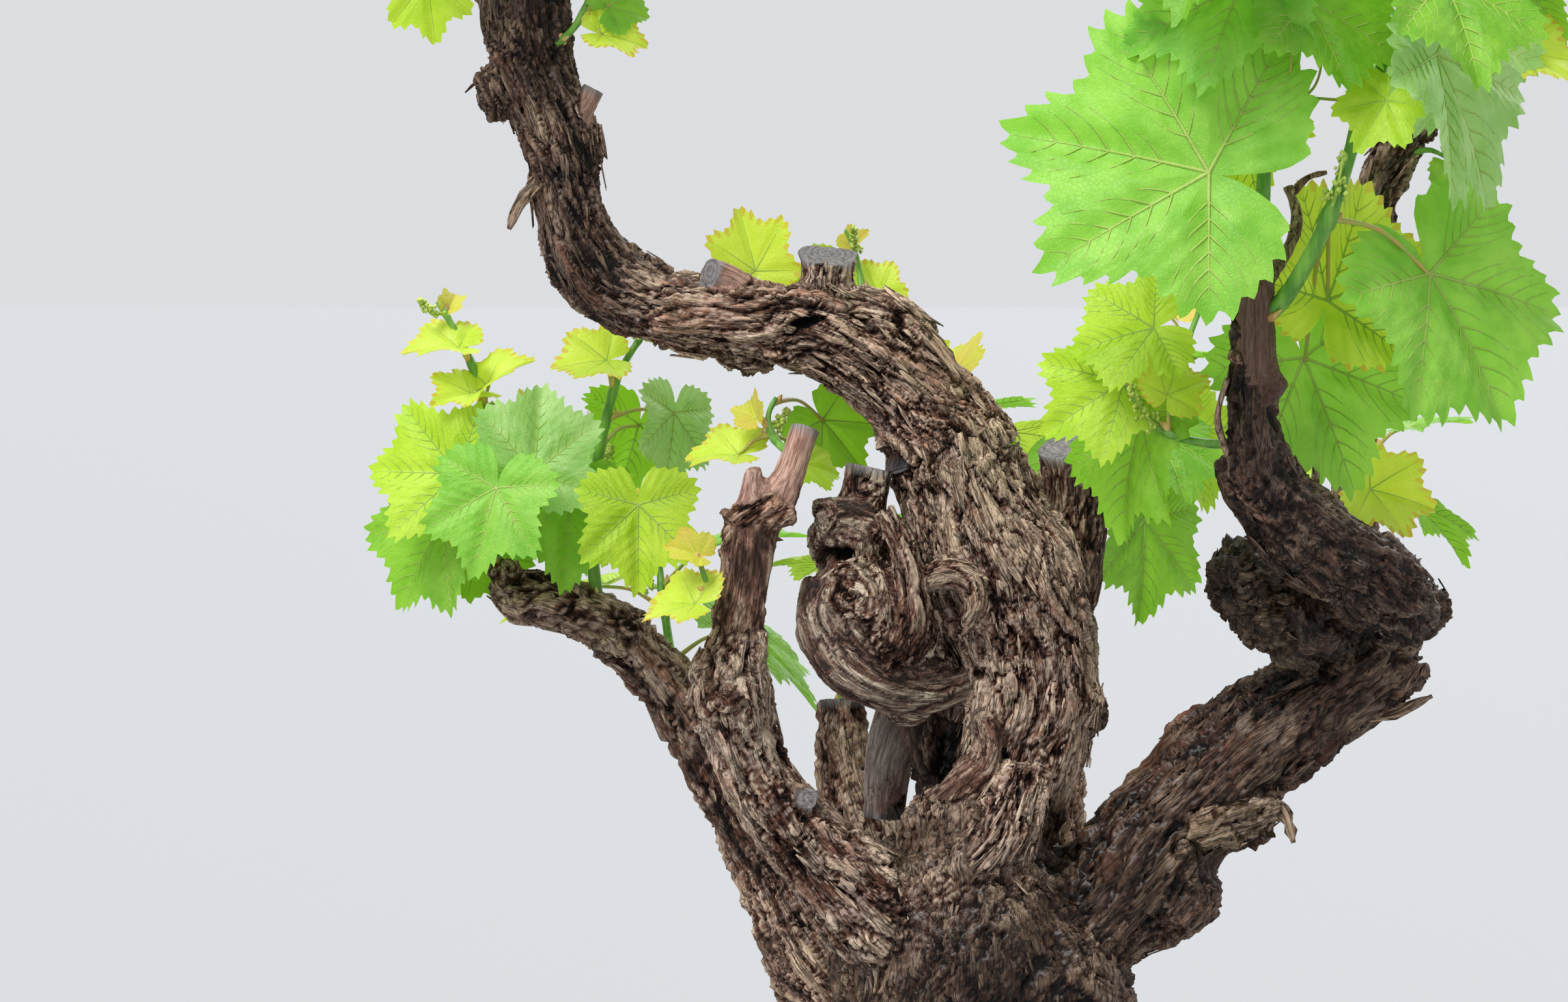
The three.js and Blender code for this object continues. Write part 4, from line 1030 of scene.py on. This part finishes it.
class Blade:
    """The shape that leaves of one variant share, in midrib lengths: a grid of points
    from the petiole to the toothed margin, and the veins."""

    def __init__(self, variant, teeth, steps, rings, side_veins):
        angle = np.radians([row[0] for row in LOBES])
        reach = np.array([row[1] for row in LOBES])
        deep = 0.7 + 0.7 * chance(variant, 5)
        reach[[1, 3]] -= np.array((0.07, 0.08)) * (deep - 0.9)
        reach = reach * (1 + 0.08 * (np.array([chance(variant, 6, k) for k in range(7)]) - 0.5))
        self.angle = angle
        self.reach = reach
        sweep = np.linspace(-math.pi, math.pi, 1441)
        rim = self.margin(sweep)
        outline = np.stack([rim * np.cos(sweep), rim * np.sin(sweep)], -1)
        run = np.concatenate([[0], np.linalg.norm(np.diff(outline, axis=0), axis=1).cumsum()])
        count = teeth * steps
        place = np.arange(count) / count
        at = np.interp(place * run[-1], run, sweep)
        tooth = np.arange(count) // steps
        form = np.array(TOOTH[steps])[np.arange(count) % steps]
        height = np.array([0.055 + 0.055 * chance(variant, 7, int(k)) for k in tooth]) * form
        height = height * ease(0.03, 0.12, np.minimum(place, 1 - place))
        smooth = self.margin(at)
        shares = np.linspace(0, 1, rings + 1)[1:] ** 0.85
        grid = [np.zeros((1, 2))]
        for share in shares:
            reach_here = share * smooth + height * smooth ** 0.5 * share ** 9 - 0.03 * share ** 9
            grid.append(np.stack([reach_here * np.cos(at), reach_here * np.sin(at)], -1))
        self.grid = np.concatenate(grid)
        j = np.arange(count)
        k = (j + 1) % count
        faces = [np.stack([0 * j, 1 + j, 1 + k], -1)]
        for ring in range(rings - 1):
            a = 1 + ring * count
            b = a + count
            faces += [np.stack([a + j, b + j, b + k], -1), np.stack([a + j, b + k, a + k], -1)]
        self.faces = np.concatenate(faces)
        peaks = 1 + (rings - 1) * count + np.nonzero(form == 1.0)[0]
        self.edge = np.isin(self.faces, peaks).any(axis=1)
        self.veins = self.vein_lines(side_veins)

    def margin(self, sweep):
        """The reach of the lobes without their teeth."""
        a = np.abs(sweep)
        straight = np.interp(a, self.angle, self.reach)
        span = np.clip(np.searchsorted(self.angle, a, side="right") - 1, 0, 5)
        part = (a - self.angle[span]) / (self.angle[span + 1] - self.angle[span])
        curved = self.reach[span] + (self.reach[span + 1] - self.reach[span]) * ease(0, 1, part)
        return 0.45 * straight + 0.55 * curved

    def lift(self, ahead, aside, leaf_seed, fold):
        """How high the blade stands over its plane."""
        spread = np.hypot(ahead, aside)
        around = np.arctan2(aside, ahead)
        phase = 6.3 * chance(leaf_seed, 11)
        droop = 0.2 * (0.75 + 0.5 * chance(leaf_seed, 12))
        height = fold * np.sqrt(aside ** 2 + 0.0016) - droop * spread ** 2
        height = height + 0.035 * np.sin(3 * around + phase) * spread ** 2
        height = height + 0.02 * np.sin(9 * around + 2 * phase) * spread ** 3
        near = np.full(np.shape(ahead), 9.0)
        order = np.zeros(np.shape(ahead))
        for angle, _ in MAIN_VEINS:
            c, s = math.cos(math.radians(angle)), math.sin(math.radians(angle))
            run = ahead * c + aside * s
            off = np.where(run > 0, np.abs(aside * c - ahead * s), spread)
            order = np.where(off < near, run - off * 0.9, order)
            near = np.minimum(near, off)
        height = height + 0.035 * ease(0.0, 0.14, near) * ease(0, 0.2, spread)
        pucker = 0.5 - 0.5 * np.cos(2 * math.pi * order / VEIN_GAP)
        return height + 0.011 * pucker * ease(0.02, 0.1, near) * ease(0.1, 0.3, spread)

    def vein_lines(self, side_veins):
        """Rows of points along each vein: ahead, aside and thickness."""
        lines = []
        for number, (angle, length) in enumerate(MAIN_VEINS):
            turn = math.radians(angle)
            way = np.array((math.cos(turn), math.sin(turn)))
            share = np.linspace(0, 1, 9 if side_veins else 5)
            lines.append(np.column_stack([share[:, None] * way * length, 0.0125 * (1 - 0.8 * share)]))
            if not side_veins:
                continue
            for step in range(1, 7):
                for hand in (1, -1):
                    start = way * length * (0.1 + VEIN_GAP * step)
                    bend = turn + hand * math.radians(48)
                    reach = 0.03
                    while reach < 0.6:
                        end = start + reach * np.array((math.cos(bend), math.sin(bend)))
                        out = math.atan2(end[1], end[0])
                        nearest = min(range(5), key=lambda k: abs(math.radians(MAIN_VEINS[k][0]) - out))
                        if math.hypot(*end) > 0.93 * self.margin(out) or nearest != number:
                            break
                        reach += 0.02
                    if reach > 0.08:
                        share = np.linspace(0, 1, 4)
                        bow = bend - hand * 0.25 * share
                        run = share * reach
                        lines.append(np.column_stack([
                            start[0] + run * np.cos(bow), start[1] + run * np.sin(bow),
                            0.0055 * (1 - 0.6 * share)]))
        return lines

    def place(self, leaf, plane, extra=0.0):
        """Points of the blade's plane, set where the leaf is."""
        fold = FOLDED.get(leaf.tint, OPEN_FOLD)
        height = self.lift(plane[:, 0], plane[:, 1], leaf.seed, fold) + extra
        aside = plane[:, 1:2] / math.hypot(1, fold)
        return leaf.foot + leaf.size * (plane[:, :1] * leaf.tip + aside * leaf.right
                                        + np.asarray(height)[:, None] * leaf.face)

    def vein_mesh(self, leaf):
        """The raised veins of one leaf, each a thin four-sided bar."""
        heap = Heap()
        for line in self.veins:
            way = unit(np.gradient(line[:, :2], axis=0))
            aside = np.stack([-way[:, 1], way[:, 0]], -1)
            thick = np.maximum(line[:, 2], 0.07 / leaf.size)
            rings = []
            for along_plane, over in ((1, 0), (0, 1), (-1, 0), (0, -1)):
                plane = line[:, :2] + aside * (thick * along_plane)[:, None]
                rings.append(self.place(leaf, plane, thick * over * 0.75))
            heap.add(np.stack(rings, axis=1).reshape(-1, 3), wall(len(line), 4))
        return heap.arrays()


TINTS = {
    "l": ("leaf_lime", (158, 200, 34), (196, 226, 72), (200, 235, 50)),
    "g": ("leaf_green", (98, 158, 36), (140, 192, 62), (150, 215, 40)),
    "b": ("leaf_bright", (112, 182, 52), (156, 212, 84), (160, 225, 60)),
    # The pale green of these leaves partly stands in for the sheen of leaves seen at a slant: painted
    # sheen.
    "p": ("leaf_pale_painted_sheen", (140, 190, 96), (184, 218, 142), (160, 215, 90)),
    "y": ("leaf_young", (182, 214, 48), (210, 232, 88), (226, 246, 66)),
    "t": ("leaf_tip", (204, 212, 80), (222, 186, 98), (228, 215, 90)),
}


def flower_cluster(root, way, length, seed):
    """A small upright cluster of closed flower buds."""
    heap = Heap()
    rows = [(*root, 0.9), (*(root + way * length * 0.5), 0.7),
            (*(root + (way + 0.25 * UP) * length), 0.4)]
    heap.add(*Course(rows, 2.0).tube(5))
    draw = np.random.default_rng(seed)
    count = CLUSTER_BUDS
    place = 0.3 + 0.7 * draw.random(count)
    middle = along(rows, place)[:, :3]
    shift = unit(draw.standard_normal((count, 3)))
    shift = shift * (length * 0.26 * (1.25 - place) * draw.random(count) ** 0.5)[:, None]
    poles = np.array([(1, 0, 0), (0, 1, 0), (-1, 0, 0), (0, -1, 0), (0, 0, 1.15), (0, 0, -1.15)])
    sides = np.array([(0, 1, 4), (1, 2, 4), (2, 3, 4), (3, 0, 4),
                      (1, 0, 5), (2, 1, 5), (3, 2, 5), (0, 3, 5)])
    beads = (middle + shift)[:, None] + poles * (0.75 + 0.45 * draw.random((count, 1, 1)))
    heap.add(beads.reshape(-1, 3), ((np.arange(count) * 6)[:, None, None] + sides).reshape(-1, 3))
    return heap.arrays()


def tendril(root, way, length, seed):
    """A thin tendril that ends in a curl."""
    aside = unit(np.cross(way, UP))
    rows = [(*root, 0.75)]
    for k in range(1, 12):
        share = k / 11
        turn = 7.5 * max(0, share - 0.45) ** 1.3 * (1 if seed % 2 else -1)
        reach = length * min(share, 0.45 + 0.25 * math.sin(turn) / 2)
        rows.append((*(root + way * reach + UP * length * 0.2 * (1 - math.cos(turn))
                       + aside * length * 0.12 * share + UP * 6 * share), 0.7 - 0.35 * share))
    return Course(rows, 1.6)


def make_shoots():
    """Swaps the masses of foliage for stems, petioles, toothed blades and their veins."""
    large = [Blade(v, 44, 4, 10, True) for v in range(5)]
    small = [Blade(v, 32, 3, 6, False) for v in range(5)]
    blades = {tint: Heap() for tint in TINTS}
    veins, edges, stems, stalks, buds, blossom = (Heap() for _ in range(6))
    for number, (_, radius, stem, posed, tints, rule) in enumerate(SHOOTS, 1):
        leaves = [posed_leaf(row, tint, number * 17 + i)
                  for i, (row, tint) in enumerate(zip(posed, tints))]
        leaves += grown_leaves(stem, rule, number) if rule else []
        roots = [leaf.root(stem) for leaf in leaves]
        course = Course([(*row, 1) for row in stem], 2.5)
        share = course.travelled / course.travelled[-1]
        swell = sum(np.exp(-((share - node) * course.travelled[-1] / (radius * 1.2)) ** 2)
                    for node, _ in roots)
        thick = radius * (1 - 0.58 * share) * (1 + 0.3 * np.minimum(swell, 1))
        stems.add(*course.tube(12, thick))
        for k in range(4):
            turn = 1.6 * k
            out = course.side[0] * math.cos(turn) + course.across[0] * math.sin(turn)
            low = course.centre[0] + course.ahead[0] * radius * (0.4 + 0.5 * k)
            reach = radius * (1.6 + 0.5 * (k % 2))
            scale = [(*(low + out * radius * 0.5), radius * 0.55),
                     (*(low + out * radius * 1.15 + course.ahead[0] * reach * 0.5), radius * 0.42),
                     (*(low + out * radius * 1.05 + course.ahead[0] * reach), 0.3)]
            buds.add(*Course(scale, 1.0).tube(6))
        for order, (leaf, (share, root)) in enumerate(zip(leaves, roots)):
            outward = unit(leaf.foot - root)
            climb = unit(along(stem, min(share + 0.05, 1))[0] - along(stem, share - 0.05)[0])
            bud = [(*(root + 0.6 * radius * outward), 1.0),
                   (*(root + outward * (radius + 0.6) + climb * 1.6), 1.35),
                   (*(root + outward * (radius + 0.9) + climb * 4.2), 0.35)]
            buds.add(*Course(bud, 1.0).tube(6))
            if order % 4 == 2 and len(leaves) > 3:
                length = 12 + 0.16 * leaf.size
                blossom.add(*flower_cluster(root, unit(climb - outward), length, leaf.seed))
            if order % 5 == 3 and leaf.size > 24:
                length = 20 + 0.5 * leaf.size
                curl = tendril(root, unit(climb * 0.6 - outward), length, leaf.seed)
                stalks.add(*curl.tube(6))
            form = (large if leaf.size > 28 else small)[leaf.seed % 5]
            points = form.place(leaf, form.grid)
            edge = form.edge if leaf.tint in "yt" else np.zeros(len(form.faces), bool)
            blades[leaf.tint].add(points, form.faces[~edge])
            if edge.any():
                edges.add(points, form.faces[edge])
            veins.add(*form.vein_mesh(leaf))
            end = leaf.foot + leaf.size * 0.03 * leaf.tip
            middle = (root + end) / 2 + UP * 0.12 * np.linalg.norm(end - root)
            girth = 0.8 + 0.004 * leaf.size
            rows = [(*root, girth * 1.25), (*middle, girth * 0.8), (*end, girth * 0.75)]
            stalks.add(*Course(rows, 2.5).tube(8))
    nodes = [row[0] for row in SHOOTS]
    for piece, heap, skin, low, high in [
            # Shoot stems: their own green, darkened a little as painted shade.
            ("shoot_stems", stems, "shoot skin", (72, 128, 42), (120, 170, 66)),
            ("petioles", stalks, "petiole skin", (150, 176, 74), (196, 158, 92)),
            ("buds", buds, "bud scales", (176, 128, 76), (214, 190, 110)),
            ("flower_clusters", blossom, "flower buds", (150, 182, 58), (196, 214, 104))]:
        put(piece, "foliage", nodes if heap is stems else [], *heap.arrays(),
            stalk_finish(skin, low, high))
    for tint, (piece, low, high, through) in TINTS.items():
        put(piece, "foliage", [], *blades[tint].arrays(),
            leaf_finish(piece.replace("_", " "), low, high, through))
    put("leaf_veins", "foliage", [], *veins.arrays(),
        leaf_finish("leaf vein", (176, 208, 92), (204, 226, 128), (200, 225, 90)))
    put("leaf_teeth", "foliage", [], *edges.arrays(),
        leaf_finish("leaf tooth", (202, 210, 60), (208, 176, 66), (226, 216, 64)))


# How many flakes each kind of bark sheds, and their least and greatest length and width.
FLAKES = {
    "plates": (1.0, 3, 11, 1.1, 3.2),
    "strands": (0.7, 3.5, 13, 1.1, 3.0),
    "shreds": (0.8, 4, 15, 1.2, 3.4),
    "whorl": (0.25, 3, 7, 0.8, 2.0),
    "callus": (0.06, 3, 6, 0.8, 2.0),
    "crumbs": (1.2, 2.5, 6, 2.0, 5.0),
    "dead": (0.2, 4, 10, 0.8, 2.2),
    "smooth": (0.0, 5, 9, 1.0, 2.0),
}
FLAKE_COUNTS = {"near": 1900, "middle": 1400, "far": 800}
# How steeply flakes stand off the wood, and the share of flakes that do.
FLAKE_RISES = (0.02, 0.07, 0.16, 0.28)
FLAKE_SHARES = (0.42, 0.36, 0.18, 0.04)
# How far flakes lie askew to the fibres, and the share that lifts at the lower end.
FLAKE_SKEW = 0.11
FLAKES_FLIPPED = 0.62
# The four rows of points across a flake: how far along it each lies, how ragged it is and
# how wide it is. The last numbers tell the finish, for the six points of a row, how light
# its rims are, partly as worn edges and partly as painted highlight, and how dark the middle
# of its underside is, as painted shade.
FLAKE_ROWS = np.array((0, 0.35, 0.7, 1.0))
FLAKE_RAGS = np.array((0.1, 0.06, 0.1, 0.4))
FLAKE_TAPER = np.array((0.6, 1.0, 0.85, 0.4))
FLAKE_RIM_LIGHT_AND_SHADE = np.array((0.9, 0.0, 0.9, 0.2, -0.6, 0.2))
# The triangles that close the end of a strip or flake whose ring has six points.
STRIP_END = np.array([(0, 1, 4), (0, 4, 5), (1, 2, 3), (1, 3, 4)])


def make_twigs_and_strips(finish):
    """Dry twigs, and the few long strips of bark that hang from the limbs."""
    heap = Heap()
    grain = []
    for rows in DRY_TWIGS:
        course = Course(rows, 2.0)
        bumps = 1 + 0.22 * noise(course.centre / 3, 5)
        points, faces = course.tube(8, course.radius * bumps)
        heap.add(points, faces)
        run = np.append(np.repeat(course.travelled, 8), (0, 0))
        grain.append(np.column_stack([points[:, :2], run]))
    for rows in LOOSE_STRIPS:
        course = Course(rows, 2.5)
        outward = unit(np.cross(course.ahead, (0.0, -1.0, 0.35)))
        over = np.cross(outward, course.ahead)
        frayed = course.radius * (1 + 0.5 * noise(course.centre / 1.7, 6))
        rim = [(-1, 0.35), (0, -0.1), (1, 0.35), (1, 0.2), (0, -0.35), (-1, 0.2)]
        rings = np.stack([course.centre + outward * (frayed * aside)[:, None]
                          + over * (lift * frayed)[:, None] + over * 0.2 * (1 if k < 3 else -1)
                          for k, (aside, lift) in enumerate(rim)], axis=1)
        count = len(course.centre)
        start = course.centre[0][0]
        sheet = np.stack([np.column_stack([start + frayed * aside, 0 * frayed, course.travelled])
                          for aside, _ in rim], axis=1)
        grain.append(sheet.reshape(-1, 3))
        last = (count - 1) * 6 + STRIP_END[:, ::-1]
        heap.add(rings.reshape(-1, 3), np.concatenate([wall(count, 6), STRIP_END, last]))
    points, faces = heap.arrays()
    size = len(points)
    tone = scatter(np.floor(points / 9), 8)
    put("twigs_and_strips", "bark", [], points, faces, finish, grain=np.concatenate(grain),
        relief=np.stack([0.5 + 0.4 * tone, tone, 0 * tone], -1),
        look=np.tile((0.3, 0.5, 0.35), (size, 1)), cut=np.zeros((size, 3)))


def make_flakes(spots, finish):
    """Loose plates and strips of bark that stand off the wood at one end."""
    draw = np.random.default_rng(11)
    for (points, normals, faces, grain, share), (grade, count) in zip(spots, FLAKE_COUNTS.items()):
        a, b, c = points[faces].transpose(1, 0, 2)
        area = np.linalg.norm(np.cross(b - a, c - a), axis=1)
        first = faces[:, 0]
        shed = np.array([FLAKES[k][0] for k in BARKS])[[list(BARKS).index(k) for k in grain.kind]]
        weight = area * shed[first] * (share[first] == 0)
        chosen = draw.choice(len(faces), count, p=weight / weight.sum())
        at = first[chosen]
        normal = unit(normals[at])
        fibre = grain.fibre[at] + FLAKE_SKEW * draw.standard_normal((count, 3))
        flipped = np.where(draw.random(count) < FLAKES_FLIPPED, -1, 1)[:, None]
        fibre = unit(fibre - normal * dots(fibre, normal)[:, None]) * flipped
        aside = np.cross(normal, fibre)
        sizes = np.array([FLAKES[k][1:] for k in grain.kind[at]])
        pick = draw.random(count) ** 1.8
        length = sizes[:, 0] + (sizes[:, 1] - sizes[:, 0]) * pick
        width = sizes[:, 2] + (sizes[:, 3] - sizes[:, 2]) * draw.random(count) * (0.4 + 0.6 * pick)
        rise = np.minimum(length, 10) * draw.choice(FLAKE_RISES, count, p=FLAKE_SHARES)
        thick = 0.2 + 0.35 * draw.random(count)
        w = np.array((-1, 0, 1))
        jag = draw.random((count, 4, 3)) - 0.5
        reach = (FLAKE_ROWS[:, None] - 0.3) + jag * FLAKE_RAGS[:, None]
        shape = FLAKE_TAPER * (0.7 + 0.6 * draw.random((count, 4)))
        half = shape[:, :, None] * w * width[:, None, None] / 2
        arch = width[:, None, None] * w ** 2 * (draw.random((count, 1, 1)) * 0.5 - 0.2)
        curl = rise[:, None, None] * (FLAKE_ROWS ** 1.7)[:, None] - 0.3 + arch + 0.25 * jag
        reach = length[:, None, None] * reach
        body = (points[at][:, None, None] + reach[..., None] * fibre[:, None, None]
                + half[..., None] * aside[:, None, None])
        top = body + (curl + thick[:, None, None] / 2)[..., None] * normal[:, None, None]
        under = body + (curl - thick[:, None, None] / 2)[..., None] * normal[:, None, None]
        ring = np.concatenate([top, under[:, :, ::-1]], axis=2).reshape(count, 24, 3)
        ring[..., 2] = np.maximum(ring[..., 2], 0.2)
        pattern = np.concatenate([wall(4, 6), STRIP_END, 18 + STRIP_END[:, (0, 2, 1)]])
        index = (np.arange(count) * 24)[:, None, None] + pattern
        sheet = np.stack([half, curl, reach], -1)
        sheet = np.concatenate([sheet, sheet[:, :, ::-1]], axis=2).reshape(count, 24, 3)
        # Painted highlight, together with worn edges, on the top rims, and painted shade under each
        # flake.
        edge = np.broadcast_to(FLAKE_RIM_LIGHT_AND_SHADE, (count, 4, 6)).reshape(count, 24)
        tone = np.broadcast_to(draw.random((count, 1)), (count, 24))
        level = np.broadcast_to(0.55 + 0.45 * draw.random((count, 1)), (count, 24))
        put(f"flakes_{grade}", "bark", [], ring.reshape(-1, 3), index.reshape(-1, 3), finish,
            grain=(grain.place[at][:, None] + sheet).reshape(-1, 3),
            relief=np.stack([level, tone, edge], -1).reshape(-1, 3),
            look=np.repeat(grain.look[at], 24, axis=0), cut=np.zeros((count * 24, 3)))


# The camera's place in metres, its tilt in degrees and its lens, and how far the floor
# reaches to each side.
EYE = (-0.074, -1.41754, 0.55112)
EYE_TILT = 86
LENS = 85
SENSOR = 36
FLOOR_REACH = 30000.0
# The lamps: name, place in metres, power and spread in degrees. They aim at the crown.
LAMPS = [("key", (-1.1, -1.2, 2.6), 3.2, 30), ("back", (0.9, 1.7, 1.9), 1.7, 50)]
LAMP_AIM = (0, 0, 0.45)


def camera_and_light():
    """The camera at the photograph's viewing angle, a pale floor and soft daylight."""
    data = bpy.data.cameras.new("view")
    data.lens = LENS
    data.sensor_width = SENSOR
    eye = bpy.data.objects.new("view", data)
    eye.location = EYE
    eye.rotation_euler = (math.radians(EYE_TILT), 0, 0)
    bpy.context.scene.collection.objects.link(eye)
    bpy.context.scene.camera = eye
    corners = np.array([(-1, -1, 0), (1, -1, 0), (1, 1, 0), (-1, 1, 0)]) * FLOOR_REACH
    floor = mesh_object("floor", corners, np.array([(0, 1, 2), (0, 2, 3)]))
    ground = Finish("pale floor", roughness=0.9)
    ground.surface(base_color=(0.36, 0.37, 0.38, 1))
    floor.data.materials.append(ground.material)
    world = bpy.data.worlds.new("studio")
    world.use_nodes = True
    sky = world.node_tree.nodes["Background"]
    sky.inputs["Color"].default_value = (0.95, 0.97, 1.0, 1)
    sky.inputs["Strength"].default_value = 0.75
    bpy.context.scene.world = world
    for name, at, power, spread in LAMPS:
        lamp = bpy.data.lights.new(name, "SUN")
        lamp.energy = power
        lamp.angle = math.radians(spread)
        made = bpy.data.objects.new(name, lamp)
        made.location = at
        aim = np.array(LAMP_AIM) - at
        made.rotation_euler = (math.atan2(math.hypot(aim[0], aim[1]), -aim[2]), 0,
                               math.atan2(aim[1], aim[0]) - math.pi / 2)
        bpy.context.scene.collection.objects.link(made)


bark = bark_finish()
make_flakes(make_wood(bark), bark)
make_twigs_and_strips(bark)
make_shoots()
camera_and_light()
bpy.context.scene.view_settings.view_transform = "Standard"
